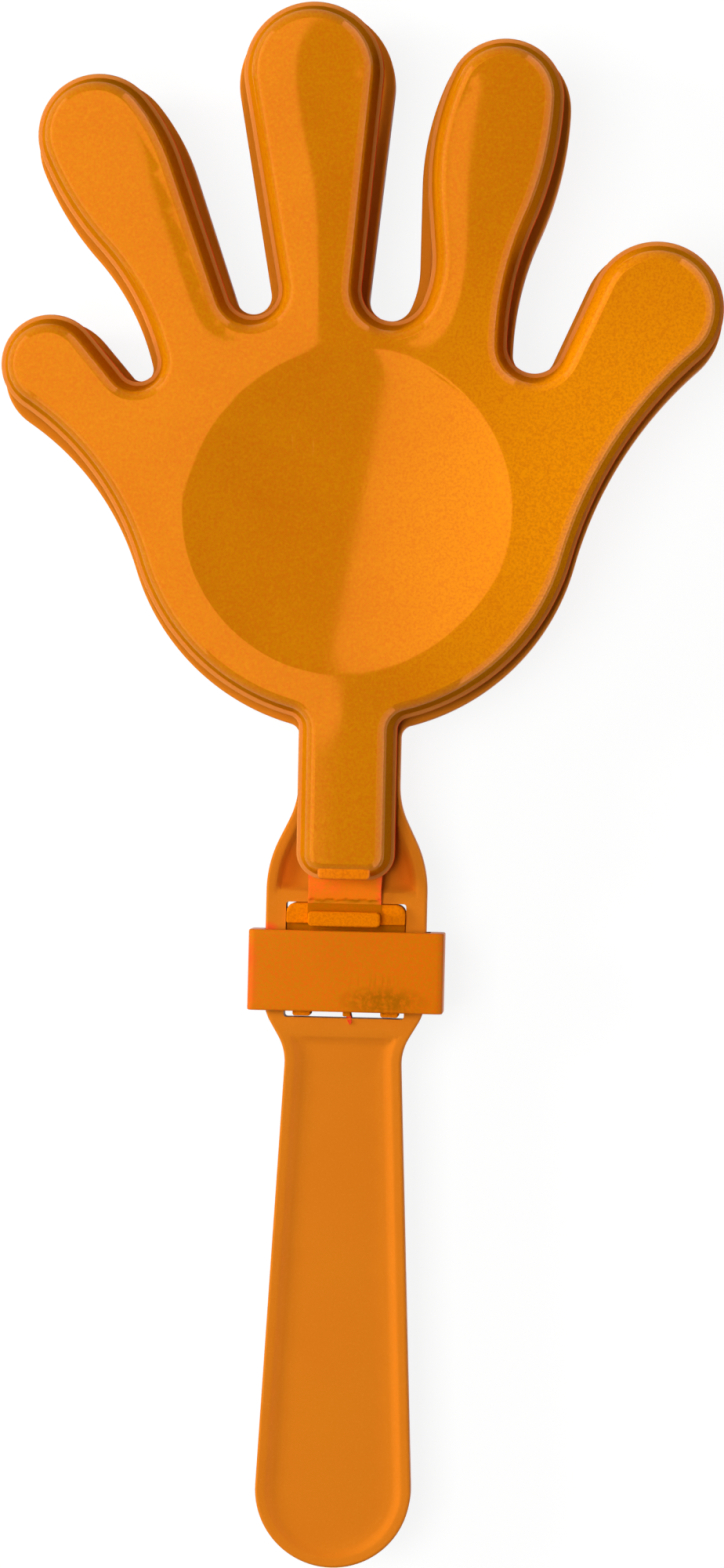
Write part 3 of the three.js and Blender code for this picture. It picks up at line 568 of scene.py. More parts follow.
def clapping_hand_skin():
    """The closed front hand on the bench, lip down on RIM_PLANE, and the marks that its material reads."""
    skin = Skin()
    path = clapping_path
    face_ring = inward(path, FACE_INSET + FACE_STEP)
    dish_radius = distances(DISH_CENTRE[None, :], face_ring).min() - DISH_LAND
    angle = np.linspace(0, 2 * math.pi, 180, endpoint=False)
    circle = np.stack([np.cos(angle), np.sin(angle)], 1)
    loose = grid_inside(face_ring, *FACE_GRID)
    loose = loose[np.abs(np.hypot(*(loose - DISH_CENTRE).T) - dish_radius) > DISH_RINGS_CLEAR]
    rings = [DISH_CENTRE + (dish_radius + step) * circle for step in DISH_RINGS]
    points, triangles = fill([face_ring], np.concatenate([loose, *rings]))
    height = hand_height(points, path, dish_radius)
    height[:len(face_ring)] = FACE_EDGE_HEIGHT
    bead = [(LIP_FOOT, 0), (0, LIP_FOOT), *quarter_round(LIP_HEIGHT, LIP_ROUND, 5), (LIP_WIDTH - 0.15, LIP_HEIGHT)]
    wall = [(LIP_WIDTH - 0.02, LIP_HEIGHT + 0.04), (LIP_WIDTH + 0.03, LIP_HEIGHT + 0.2), (WALL_TOP_INSET, WALL_TOP)]
    outside = [*bead, *wall, *edge_band(), (FACE_INSET, FACE_EDGE_HEIGHT)]
    within = [(LIP_WIDTH + SHELL_WALL, 0), (WALL_TOP_INSET + SHELL_WALL, WALL_TOP - 0.3),
              (FACE_INSET - 0.1, FACE_EDGE_HEIGHT - SHELL_WALL - 0.05)]
    outer = skin.carry(path, [(inset, z + RIM_PLANE) for inset, z in outside])
    inner = [skin.add(inward(path, inset), z + RIM_PLANE) for inset, z in within]
    upper, lower = skin.slab(points, triangles, height + RIM_PLANE, height + RIM_PLANE - SHELL_WALL)
    ring = np.arange(len(face_ring))
    skin.strip(outer[-1], upper[ring])
    for a, b in zip(inner, inner[1:] + [lower[ring]]):
        skin.strip(b, a)
    skin.strip(inner[0], outer[0])
    shell_points = skin.count
    add_bar(skin, HAND_STOP, RIM_PLANE + LIP_HEIGHT, RIM_PLANE + HAND_STOP_TOP, STOP_CORNER, STOP_ROUND)
    ring = np.arange(skin.count) // len(path)
    to_right = np.resize(np.clip(path[:, 2], 0, 1), skin.count)
    # the first mark is the lip, which gets a painted highlight
    return skin, {"lip_highlight": ring < len(bead), "matt": ring < len(bead) + len(wall),
                  "red": np.where(ring < RED_RINGS, to_right, 0), "bright": np.arange(skin.count) >= shell_points}


front_hand, rear_hand = new_pair("hand_shell", *clapping_hand_skin(), REST_OPEN)

# %% [markdown]
# ## Centre hand and grip
# The flat moulding is an I-section: a rim all round, a thin web in the middle, and a shallow pocket on both faces,
# cut in two by the window for the tabs. One formula gives rim, pocket wall and web: the depth follows the distance
# to the rim or to the crossbar, whichever is nearer.

# %% Handle
RIM_HALF_DEPTH = 2.7
RIM_ROUND = 0.45
RIM_WIDTH = 1.8
WEB_HALF_DEPTH = 0.8
POCKET_WALL_RUN = 2.2
GRIP_POCKET_DEPTH = 1.0
CROSSBAR_WIDTH = 2.0
WINDOW_HALF_WIDTH = 10.75
WINDOW_LENGTH = 20.6
LOWER_CROSSBAR_WIDTH = 3.4
WINDOW_CORNER = 0.5
WINDOW_TOP = -CROSSBAR_WIDTH
GRIP_POCKET_TOP = WINDOW_TOP - WINDOW_LENGTH - LOWER_CROSSBAR_WIDTH
POCKET_EDGE = 0.3
RIM_LINES = (1.2, 1.6, 1.75, 1.87, 2.0, 2.2, 2.5, 2.9, 3.4)
CROSSBAR_LINES = (-0.3, -0.05, 0.07, 0.2, 0.4, 0.7, 1.1, 1.6)
POCKET_GRID = (3.0, 0.5)


def pocket_depth(xy, path):
    """Depth of the pocket below the rim. With s the distance inside the pocket's edge, it is 1 - (1 - s/run) ** 2.5
    of the full depth, and its upper edge is rounded over POCKET_EDGE. The grip's pocket is the shallower one."""
    y = xy[:, 1]
    in_hand = y > GRIP_POCKET_TOP / 2
    s = np.minimum(nearest(xy, path[:, :2]) - RIM_WIDTH, np.where(in_hand, y, GRIP_POCKET_TOP - y))
    s = (s + np.sqrt(s ** 2 + POCKET_EDGE ** 2)) / 2
    t = np.clip(s / POCKET_WALL_RUN, 0, 1)
    return np.where(in_hand, RIM_HALF_DEPTH - WEB_HALF_DEPTH, GRIP_POCKET_DEPTH) * (1 - (1 - t) ** 2.5)


def handle_skin():
    """The handle: a side strip with rounded edges, two like faces, and the window's wall. Lines of points follow the
    pockets' walls, where the height changes fast, and a 3 mm grid fills the rest."""
    skin = Skin()
    path = handle_path
    side = quarter_round(RIM_HALF_DEPTH, RIM_ROUND)
    rings = skin.carry(path, [(inset, -z) for inset, z in side[::-1]] + side)
    window_ring = belt(rounded_rectangle(-WINDOW_HALF_WIDTH, WINDOW_HALF_WIDTH, WINDOW_TOP - WINDOW_LENGTH, WINDOW_TOP,
                                         WINDOW_CORNER), 0.8)[:, :2]
    face_ring = inward(path, RIM_ROUND)
    lines = [inward(path, inset) for inset in RIM_LINES]
    x = np.arange(-WINDOW_HALF_WIDTH, WINDOW_HALF_WIDTH, 0.9)
    for step in CROSSBAR_LINES:
        lines.append(np.column_stack([x, np.full(len(x), step)]))
        lines.append(np.column_stack([x[4:-3], np.full(len(x) - 7, GRIP_POCKET_TOP - step)]))
    loose = np.concatenate([grid_inside(inward(path, RIM_LINES[-1] + 0.5), *POCKET_GRID), *lines])
    loose = loose[~inside(loose, window_ring) & (nearest(loose, window_ring) > 0.35) & inside(loose, face_ring)]
    points, triangles = fill([face_ring, window_ring], loose)
    middle = points[triangles].mean(axis=1)
    triangles = triangles[~inside(middle, window_ring) & inside(middle, face_ring)]
    height = RIM_HALF_DEPTH - pocket_depth(points, path)
    height[:len(face_ring) + len(window_ring)] = RIM_HALF_DEPTH
    ring = np.arange(len(face_ring))
    window = np.arange(len(face_ring), len(face_ring) + len(window_ring))
    upper, lower = skin.slab(points, triangles, height, -height)
    skin.strip(lower[ring], rings[0])
    skin.strip(rings[-1], upper[ring])
    skin.strip(upper[window], lower[window])
    return skin


handle_piece = new_piece("centre_hand_and_grip", *handle_skin().mesh())

# %% [markdown]
# ## Tabs, straps and sleeve
# Each strap ends in a tab that lies in the window. It has rounded shoulders, a raised ledge where the strap runs into
# it, a stop bar, a groove darkened by painted shade, two legs and the stub where the plastic was fed in.

# %% Tabs
TAB_FOOT = 0.15
SHOULDER_FOOT = TAB_FOOT + 0.3
TAB_HEIGHT = 3.5
TAB_HALF_WIDTH = WINDOW_HALF_WIDTH - 0.12
TAB_TOP = 2.12
TAB_END = -19.0
TAB_CORNER = 2.1
GROOVE = (-7.8, -5.75)
GROOVE_DEPTH = 1.3
LEG_WIDTH = 3.2
LEG_CORNER = 0.45
LEG_PLACES = (-7.55, 8.15)
LEG_END = -22.3
SPRUE = (-0.2, 1.2)
TAB_STOP = (MOULDING_SHIFT - 6.45, MOULDING_SHIFT + 6.45, -6.2, -3.55)
TAB_STOP_RISE = 2.0
LEDGE = (MOULDING_SHIFT - 6.6, MOULDING_SHIFT + 6.6, TAB_STOP[3] - 1.5, -TAB_TOP)
LEDGE_RISE = 0.15
TORN_TIP = np.array([(0.7, -23, 2.95), (1.15, -23.75, 3.1), (1.5, -23.2, 3), (1.15, -21.6, 2.2), (0.25, -21.6, 2.1)])
TORN_THICKNESS = 0.25


def tab_skin():
    """The front tab: overlapping closed blocks that read as one moulding, each with its tone, outline, bottom, top,
    corner and rounding. The last shape is the torn tip of the feed stub, bent over the crossbar."""
    skin = Skin()
    wide = (-TAB_HALF_WIDTH, TAB_HALF_WIDTH)
    legs = [("bright", (x - LEG_WIDTH / 2, x + LEG_WIDTH / 2, LEG_END, TAB_END + 2), TAB_FOOT, TAB_HEIGHT - 0.02,
             LEG_CORNER, 0.3) for x in LEG_PLACES]
    blocks = [
        # the base block shows in the groove, darkened there with painted shade
        ("painted_shade", (*wide, TAB_END, -TAB_TOP - 0.3), TAB_FOOT, TAB_HEIGHT - GROOVE_DEPTH, TAB_CORNER, 0.2),
        ("bright", (*wide, GROOVE[1], -TAB_TOP), SHOULDER_FOOT, TAB_HEIGHT, TAB_CORNER - 0.4, 0.5),
        ("bright", (*wide, GROOVE[1], -TAB_TOP - 1.6), SHOULDER_FOOT, TAB_HEIGHT - 0.01, 0.3, 0.2),
        ("bright", (*wide, TAB_END, GROOVE[0]), SHOULDER_FOOT, TAB_HEIGHT, 1.0, 0.3),
        *legs,
        ("bright", (*SPRUE, LEG_END, TAB_END + 1), TAB_FOOT + 0.6, TAB_HEIGHT - 0.9, 0.3, 0.2),
        # the ledge has the same painted shade, under the strap's end
        ("painted_shade", LEDGE, TAB_HEIGHT / 2, TAB_HEIGHT + LEDGE_RISE, 0.2, 0.1),
        ("bright", TAB_STOP, TAB_HEIGHT / 2, TAB_HEIGHT + TAB_STOP_RISE, STOP_CORNER, STOP_ROUND),
    ]
    tones = []
    for tone, *block in blocks:
        add_bar(skin, *block)
        tones += [tone] * (skin.count - len(tones))
    skin.loft([(TORN_TIP[:, :2], TORN_TIP[:, 2] - step) for step in (TORN_THICKNESS, 0)], capped=True)
    tones = np.array(tones + ["red"] * (skin.count - len(tones)))
    return skin, {"matt": np.ones(skin.count), **{tone: tones == tone for tone in ("bright", "painted_shade", "red")}}


front_tab, rear_tab = new_pair("tab_plate", *tab_skin())

# %% [markdown]
# The strap is a band 0.6 mm thick with a little slack, so it bows out between tab and hand. It has 72 rows of points
# along it.

# %% Straps
STRAP_HALF_WIDTH = 6.6
STRAP_THICKNESS = 0.6
STRAP_START = 2.9
STRAP_END = -3.2
STRAP_BOW = 0.1
STRAP_WAIST = 0.012
STRAP_ROWS = 72
STRAP_STEP = 0.22
STRAP_STEP_AT = -1.45
STEP_RUN = 0.07
STEP_WAVES = ((0.13, 2.1, 1), (0.09, 5.3, 0))
STEP_SLANT = 0.05
CREASE_DEPTH = 0.03
CREASES_AT = -2.4
CREASES_REACH = 0.8


def strap_skin():
    """The band's cross-section carried along v, from -0.5 at the hand to 0.5 at the tab, over a bow of height
    STRAP_BOW * cos(pi * v) ** 2. A ragged step crosses it where its skin has torn, with shallow creases below."""
    around = belt(rounded_rectangle(-STRAP_HALF_WIDTH, STRAP_HALF_WIDTH, -STRAP_THICKNESS / 2, STRAP_THICKNESS / 2,
                                    STRAP_THICKNESS * 0.45), 0.2)
    v = np.linspace(-0.5, 0.5, STRAP_ROWS)[:, None]
    y = (STRAP_START + STRAP_END) / 2 + v * (STRAP_END - STRAP_START)
    x = np.broadcast_to(around[:, 0], (len(v), len(around)))
    rise = np.cos(math.pi * v) ** 2
    torn_at = STRAP_STEP_AT + STEP_SLANT * x / STRAP_HALF_WIDTH
    for size, waves, shift in STEP_WAVES:
        torn_at = torn_at + size * np.sin(x * waves + shift)
    step = STRAP_STEP / (1 + np.exp(-(y - torn_at) / STEP_RUN))
    crease = CREASE_DEPTH * np.sin(y * 4.2 + 0.7 * np.sin(x * 1.3)) * np.exp(-((y - CREASES_AT) / CREASES_REACH) ** 2)
    z = around[:, 1] + HINGE_HEIGHT - STRAP_STEP / 2 + STRAP_BOW * rise + crease + step
    xy = np.stack([x * (1 - STRAP_WAIST * rise) + MOULDING_SHIFT, np.broadcast_to(y, x.shape)], -1)
    skin = Skin()
    skin.loft(zip(xy, z), capped=True)
    return skin


front_strap, rear_strap = new_pair("strap", strap_skin())

# %% [markdown]
# The sleeve is a rounded rectangle carried along the grip, outside and inside, with small rounds at its ends. Thin
# mouldings are never quite flat, so its faces sink by a tenth of a millimetre.

# %% Sleeve
SLEEVE_TOP = -7.0
SLEEVE_LENGTH = 14.4
SLEEVE_HALF_WIDTH = 17.45
SLEEVE_HALF_DEPTH = 5.4
SLEEVE_INNER = (14.9, 3.8)
SLEEVE_SHIFT = 0.25
SLEEVE_CORNER = 1.2
SLEEVE_ROUND = 0.3
SLEEVE_SINK = 0.1


def sleeve_skin():
    """Rings in X and Z at stations along Y, first up the outside and then back through the bore."""
    outer = belt(rounded_rectangle(-SLEEVE_HALF_WIDTH, SLEEVE_HALF_WIDTH, -SLEEVE_HALF_DEPTH, SLEEVE_HALF_DEPTH,
                                   SLEEVE_CORNER), 0.9)
    profile = quarter_round(SLEEVE_LENGTH / 2, SLEEVE_ROUND, 3)
    stations = [(inset, -y) for inset, y in profile[::-1]]
    stations += [(0, y) for y in np.linspace(-SLEEVE_LENGTH / 2 + 1, SLEEVE_LENGTH / 2 - 1, 9)] + profile
    middle = SLEEVE_TOP - SLEEVE_LENGTH / 2
    rows = []
    for inset, y in stations:
        x, z = inward(outer, inset).T
        flat = np.clip(1 - (x / (SLEEVE_HALF_WIDTH - 1)) ** 2, 0, 1)
        rows.append((x, y, z - np.sign(z) * SLEEVE_SINK * (1 - (2 * y / SLEEVE_LENGTH) ** 2) * flat))
    x, z = (outer[:, :2] * SLEEVE_INNER / (SLEEVE_HALF_WIDTH, SLEEVE_HALF_DEPTH)).T
    rows += [(x, SLEEVE_LENGTH / 2, z), (x, -SLEEVE_LENGTH / 2, z)]
    skin = Skin()
    skin.loft([(np.column_stack([x + SLEEVE_SHIFT, np.full(len(x), middle + y)]), z) for x, y, z in rows], closed=True)
    return skin


sleeve = new_piece("retaining_sleeve", *sleeve_skin().mesh())

# %% [markdown]
# ## Finishes
# All four mouldings are orange plastic, coloured in the melt. The hands come from a polished mould and are glossy; the
# grip and the sleeve are duller. Each finish is painted in layers: a pattern sized in millimetres says how much of a
# colour shows.

# %% Material helpers
GLOSS_TINT = "#FF8A3A"


def linear(code):
    """sRGB hex to linear RGBA: below 0.04045 divide by 12.92, above it ((c + 0.055) / 1.055) ** 2.4."""
    value = np.array([int(code[i:i + 2], 16) for i in (1, 3, 5)]) / 255
    value = np.where(value <= 0.04045, value / 12.92, ((value + 0.055) / 1.055) ** 2.4)
    return (*value.tolist(), 1.0)


def add_node(tree, kind, inputs=(), out=0, **settings):
    """An output of a new node. inputs go to its sockets, in order or, in a dict, by name: a socket is linked, and a
    value or a hex colour is set. settings are the node's properties."""
    node = tree.nodes.new("ShaderNode" + kind)
    for name, value in settings.items():
        setattr(node, name, value)
    for name, value in (inputs if isinstance(inputs, dict) else dict(enumerate(inputs))).items():
        if isinstance(value, bpy.types.NodeSocket):
            tree.links.new(value, node.inputs[name])
        else:
            node.inputs[name].default_value = linear(value) if isinstance(value, str) else value
    return node.outputs[out] if len(node.outputs) else node


def in_tree_of(owner):
    """add_node for the node tree of a material or world, which is cleared first."""
    owner.use_nodes = True
    owner.node_tree.nodes.clear()
    return partial(add_node, owner.node_tree)


def spots(node, place, size_mm, detail=3.0, roughness=0.5, stretch=(1, 1, 1), turn=0):
    """Soft random spots about size_mm across. A stretch below 1 draws them out along an axis, turned by degrees."""
    axes = {"Vector": place, "Rotation": (0, 0, math.radians(turn)), "Scale": stretch}
    return node("TexNoise", {"Vector": node("Mapping", axes), "Scale": 1 / (size_mm * MM), "Detail": detail,
                             "Roughness": roughness})


def near_spot(node, place, centre, reach_mm, core=0.35):
    """1 at a spot on the bench, inside its core, and 0 beyond an ellipsoid of the given reaches round it."""
    inverse = 1 / (np.array(reach_mm) * MM)
    axes = {"Vector": place, "Location": (-on_bench(centre) * inverse).tolist(), "Scale": inverse.tolist()}
    away = node("VectorMath", (node("Mapping", axes),), "Value", operation="LENGTH")
    return node("MapRange", (away, core, 1, 1, 0))


def painted(node, colour, layers):
    """A colour with layers (amount, colour) painted over it. An amount is a source, or a source with the range of its
    values, low and high, and the two amounts that this range is spread over."""
    for amount, tone in layers:
        if isinstance(amount, tuple):
            amount = node("MapRange", amount)
        colour = node("Mix", {0: amount, 6: colour, 7: tone}, 2, data_type="RGBA")
    return colour


def new_plastic(name, recipe):
    """A plastic whose gloss is tinted by its pigment. recipe(node, place) gives its shader's inputs, and the source,
    strength and depth of its bumps: node adds a node to its tree, and place is the object's own coordinates."""
    material = bpy.data.materials.new(name)
    node = in_tree_of(material)
    inputs, (height, strength, depth_mm) = recipe(node, node("TexCoord", out="Object"))
    bumps = node("Bump", {"Height": height, "Strength": strength, "Distance": depth_mm * MM})
    surface = node("BsdfPrincipled", {"Specular Tint": GLOSS_TINT, "Normal": bumps, **inputs})
    node("OutputMaterial", {"Surface": surface})
    print(name, "has", len(material.node_tree.nodes), "nodes")
    return material


# %% [markdown]
# Polished orange polypropylene: a deep amber, lighter toward the thumb, where painted light brightens the palm. The
# polish gives clear mirror images, broken by faint clouds, a fine speckle and hairline scratches. The mould drags
# along the steep walls and the lip, so those have no polish and look matt; the lip gets a painted highlight instead.

# %% Hand plastic
HAND_AMBER = "#CA7A00"
HAND_AMBER_DEEP = "#C67300"
HAND_GOLD = "#DA8C0C"
HAND_SPECKLE = "#CB5C08"
HAND_BRIGHT = "#EA7E02"
# painted shade: darker in the groove between the stop bar and the sleeve, and on the ledge under the strap's end
HAND_PAINTED_SHADE = "#B06300"
# painted light: a brighter amber toward the thumb, where the palm is lit more strongly
THUMB_PAINTED_LIGHT = "#F49400"
THUMB_LIT_SPOT = ((58, 66, 12), (60, 68, 60))
SCRATCH_PALE = "#DC8A30"
SCRATCHES = [((-4, 34, 12), 9, 35), ((-9, 82, 12), 14, -20)]
# painted highlight: a pale line along the lip, where its rounded edge catches the light
LIP_PAINTED_HIGHLIGHT = "#D8843A"
THIN_RED = "#F04C24"


def scratches(node, place, centre, reach_mm, turn):
    """Hairline scratches near a point: spots 0.5 mm wide, drawn out 30 times, of which only the highest show."""
    lines = spots(node, place, 0.5, 2, stretch=(1, 1 / 30, 1), turn=turn)
    thin = node("MapRange", (lines, 0.66, 0.72, 0, 1))
    return node("Math", (near_spot(node, place, centre, [reach_mm] * 3, 0.3), thin), operation="MULTIPLY")


def hand_recipe(node, place):
    """Clouds 14 mm across, a 0.6 mm grain and a 0.42 mm speckle. The points' marks paint a highlight along the lip,
    make the bars brighter, paint shade into the groove and onto the ledge, make the thinnest places redder, and take
    the polish off the matt places."""
    clouds = spots(node, place, 14, 2)
    grain = spots(node, place, 0.6, 2)
    speckle = spots(node, place, 0.42, 3, 0.6)
    scratched = node("Math", [scratches(node, place, *spot) for spot in SCRATCHES], operation="MAXIMUM")
    lip_highlight, red, bright, painted_shade, matt = (node("Attribute", out="Fac", attribute_name=name)
                                     for name in ("lip_highlight", "red", "bright", "painted_shade", "matt"))
    # painted light in these layers: the thumb side's brighter amber, the lip's highlight and the shade in the groove
    colour = painted(node, HAND_AMBER, [
        ((clouds, 0.35, 0.65, 0, 1), HAND_AMBER_DEEP), ((grain, 0.45, 0.75, 0, 0.4), HAND_GOLD),
        (near_spot(node, place, *THUMB_LIT_SPOT), THUMB_PAINTED_LIGHT), ((scratched, 0, 1, 0, 0.2), SCRATCH_PALE),
        (bright, HAND_BRIGHT), (painted_shade, HAND_PAINTED_SHADE), ((speckle, 0.42, 0.62, 0, 0.5), HAND_SPECKLE), (lip_highlight, LIP_PAINTED_HIGHLIGHT),
        (red, THIN_RED)])
    polish = node("MapRange", (clouds, 0.3, 0.7, 0.04, 0.06))
    for rough_place, rougher in ((matt, 0.4), (scratched, 0.1)):
        polish = node("Math", (rough_place, rougher, polish), operation="MULTIPLY_ADD")
    height = node("Math", (grain, scratched), operation="SUBTRACT")
    gloss = node("MapRange", (matt, 0, 1, 0.5, 0))
    return {"Base Color": colour, "Roughness": polish, "Specular IOR Level": gloss, "IOR": 1.5}, (height, 0.05, 0.05)


hand_plastic = new_plastic("polished_orange_polypropylene", hand_recipe)

# %% [markdown]
# The grip's mould was left with a fine spark texture, so it is satin. It shows soft clouds where the plastic flowed,
# and it is redder in the pockets beside the stem, with painted light for the glow that the orange hand throws there.
# The sleeve has the same finish, with a fine red and olive speckle, and a darker worn patch and rubbed lines on its
# lower right.

# %% Grip and sleeve plastic
SATIN_GLOSS = 0.12
GRIP_ORANGE = "#D57817"
GRIP_ORANGE_DEEP = "#D37516"
GRIP_PALE = "#E08A30"
# painted light: the red glow that the orange hand throws into the pockets beside the stem
GRIP_POCKET_BOUNCE_RED = "#D0640F"
BOUNCE_LIT_POCKETS = [((side * 11.2, 4.5, 0.8), (5.0, 7.5, 1.8)) for side in (-1, 1)]
# a red spot on the grip's left shoulder, beside the top of the sleeve
RED_SHOULDER_SPOT = ((-13.7, -6.8, 2.7), (2.0, 1.3, 2.0))
SLEEVE_LEFT = "#D6760E"
SLEEVE_RIGHT = "#D06C02"
SLEEVE_BLEND = (-17, 17)
SLEEVE_DARK = "#CE6A06"
SLEEVE_PALE = "#E07E16"
SLEEVE_RED = "#E85A10"
SLEEVE_OLIVE = "#C27A00"
SLEEVE_WORN = "#A65C00"
WORN_PATCH = ((7.0, -19.4, 5.4), (8.8, 3.2, 3.0))
RUBBED_PATCH = ((5.4, -17.0, 5.4), (6.0, 3.2, 3.0))
BRUISED_EDGE = ((-17.6, -15, 5.4), (2.6, 9, 3.0))


def grip_recipe(node, place):
    """Satin plastic with 20 mm flow clouds and a spark texture, drawn 0.45 mm coarse so that it shows."""
    clouds = spots(node, place, 20, 2)
    grain = spots(node, place, 0.45, 2)
    colour = painted(node, GRIP_ORANGE, [
        ((clouds, 0.35, 0.65, 0, 1), GRIP_ORANGE_DEEP), ((grain, 0.5, 0.8, 0, 0.2), GRIP_PALE),
        # painted light: red glow in the pockets beside the stem
        *[(near_spot(node, place, *pocket), GRIP_POCKET_BOUNCE_RED) for pocket in BOUNCE_LIT_POCKETS],
        ((near_spot(node, place, *RED_SHOULDER_SPOT), 0, 1, 0, 0.7), THIN_RED)])
    rough = node("MapRange", (clouds, 0.3, 0.7, 0.42, 0.52))
    return {"Base Color": colour, "Roughness": rough, "Specular IOR Level": SATIN_GLOSS}, (grain, 0.12, 0.05)


def sleeve_recipe(node, place):
    """Satin plastic with a mottled worn patch, faint rubbed lines along the grip above it, a speckle 0.42 mm across,
    and a bruised left edge."""
    clouds = spots(node, place, 9)
    grain = spots(node, place, 0.5, 2)
    mottled = spots(node, place, 1.1, 4, 0.65)
    lines = spots(node, place, 0.5, 3, 0.6, (1, 0.1, 1))
    speckle = spots(node, place, 0.42, 3, 0.65)
    across = node("SeparateXYZ", (place,), "X")
    left, right = (float(on_bench((x, 0, 0))[0]) for x in SLEEVE_BLEND)
    areas = [(WORN_PATCH, (mottled, 0.38, 0.55, 0.25, 1)), (RUBBED_PATCH, (lines, 0.5, 0.66, 0, 0.55)),
             (BRUISED_EDGE, (clouds, 0.35, 0.6, 0.25, 0.8))]
    worn, rubbed, bruised = (node("Math", (near_spot(node, place, *spot), node("MapRange", pattern)),
                                  operation="MULTIPLY") for spot, pattern in areas)
    worn = node("Math", (worn, rubbed), operation="MAXIMUM")
    colour = painted(node, SLEEVE_LEFT, [
        ((across, left, right, 0, 1), SLEEVE_RIGHT), ((clouds, 0.3, 0.7, 0, 0.4), SLEEVE_DARK),
        ((grain, 0.5, 0.8, 0, 0.3), SLEEVE_PALE), ((speckle, 0.45, 0.62, 0, 0.45), SLEEVE_RED),
        ((speckle, 0.52, 0.36, 0, 0.35), SLEEVE_OLIVE), (worn, SLEEVE_WORN), (bruised, THIN_RED)])
    rough = node("MapRange", (worn, 0, 1, 0.4, 0.5))
    return {"Base Color": colour, "Roughness": rough, "Specular IOR Level": SATIN_GLOSS}, (grain, 0.1, 0.05)


grip_plastic = new_plastic("spark_textured_orange_polypropylene", grip_recipe)
sleeve_plastic = new_plastic("rubbed_orange_polypropylene", sleeve_recipe)

# %% [markdown]
# Where the plastic is only 0.6 mm thick it lets light through and looks redder. The strap gets some scattering under
# its skin, and stress lines across it where it has been bent.

# %% Strap plastic
STRAP_UPPER = "#D26500"
STRAP_LOWER = "#A86200"
STRAP_RED = "#F04E1E"
STRAP_STRESSED = "#D07004"
STRAP_SPECKLE = "#C06A00"
STRAP_RED_CORNER = ((MOULDING_SHIFT - 4.0, 1.0, 9.0), (5.5, 2.6, 9.0))
COLOUR_STEP_AT = STRAP_STEP_AT + 0.6
COLOUR_STEP_RUN = 0.2
COLOUR_STEP_WANDER = 1.2


def strap_recipe(node, place):
    """Thin bent plastic: redder above the ragged step, browner below it, with 0.5 mm stress lines drawn out across
    the band and red, bruised spots along both edges."""
    lines = spots(node, place, 0.5, 3, 0.6, (0.18, 1, 1))
    bruises = spots(node, place, 1.6, 2)
    speckle = spots(node, place, 0.42, 3, 0.65)
    x, y = (node("SeparateXYZ", (place,), axis) for axis in "XY")
    wander = node("Math", (bruises, COLOUR_STEP_WANDER * MM, y), operation="MULTIPLY_ADD")
    middle, step = on_bench((MOULDING_SHIFT, COLOUR_STEP_AT, 0)).tolist()[:2]
    run = COLOUR_STEP_RUN * MM
    aside = node("Math", (node("Math", (x, middle), operation="SUBTRACT"),), operation="ABSOLUTE")
    edge = node("MapRange", (aside, (STRAP_HALF_WIDTH - 1.3) * MM, (STRAP_HALF_WIDTH - 0.2) * MM, 0, 1))
    corner = near_spot(node, place, *STRAP_RED_CORNER)
    bruised, cornered = (node("Math", (area, node("MapRange", (bruises, *spread))), operation="MULTIPLY")
                         for area, spread in ((edge, (0.42, 0.56, 0.35, 1)), (corner, (0.4, 0.55, 0.1, 0.7))))
    colour = painted(node, STRAP_LOWER, [
        ((wander, step - run, step + run, 0, 1), STRAP_UPPER), ((lines, 0.45, 0.65, 0, 0.5), STRAP_STRESSED),
        (bruised, STRAP_RED), (cornered, STRAP_RED), ((speckle, 0.45, 0.62, 0, 0.5), STRAP_SPECKLE)])
    inputs = {"Base Color": colour, "Roughness": 0.35, "Subsurface Weight": 0.1, "Subsurface Scale": 1.0 * MM}
    return inputs, (lines, 0.3, 0.08)


strap_plastic = new_plastic("bent_thin_orange_polypropylene", strap_recipe)

# %% [markdown]
# ## Putting it together
# Every piece takes its finish and stands for its node, whose frame mesh is hidden. All but the straps ride on their
# bodies; the straps stay where they are.

# %% Ride and replace
pieces = [
    (front_hand, "front_hand", hand_plastic, "hand_plastic"),
    (rear_hand, "rear_hand", hand_plastic, "hand_plastic"),
    (front_tab, "front_tab", hand_plastic, "hand_plastic"),
    (rear_tab, "rear_tab", hand_plastic, "hand_plastic"),
    (front_strap, "front_hinge_strap", strap_plastic, "hand_plastic"),
    (rear_strap, "rear_hinge_strap", strap_plastic, "hand_plastic"),
    (handle_piece, "handle", grip_plastic, "grip_plastic"),
    (sleeve, "clip_band", sleeve_plastic, "sleeve_plastic"),
]
body_of = {"front_hand": "front_hand_body", "rear_hand": "rear_hand_body"}
for piece, node, material, slot in pieces:
    piece.data.materials.append(material)
    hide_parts(node)
    if "strap" not in node:
        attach(piece, body_of.get(node, "handle_body"))

for piece, body, side in ((front_strap, "front_hand_body", 1), (rear_strap, "rear_hand_body", -1)):
    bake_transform(piece)
print(len(pieces), "pieces in place")

# %% [markdown]
# ## Light
# A large softbox hangs over the left of the clapper and ends in a straight edge. The flat palm mirrors that edge as
# the line between its bright and its dark half, and each crowned finger repeats it. Cards on both sides draw the
# bright lines along the rounded edges. All of these show only in the gloss. The colours are lit by plain lamps: one
# overhead on the left for the faces, and low ones on three sides for the walls. The sky and the floor add little
# light, so the gaps between the fingers stay deep.

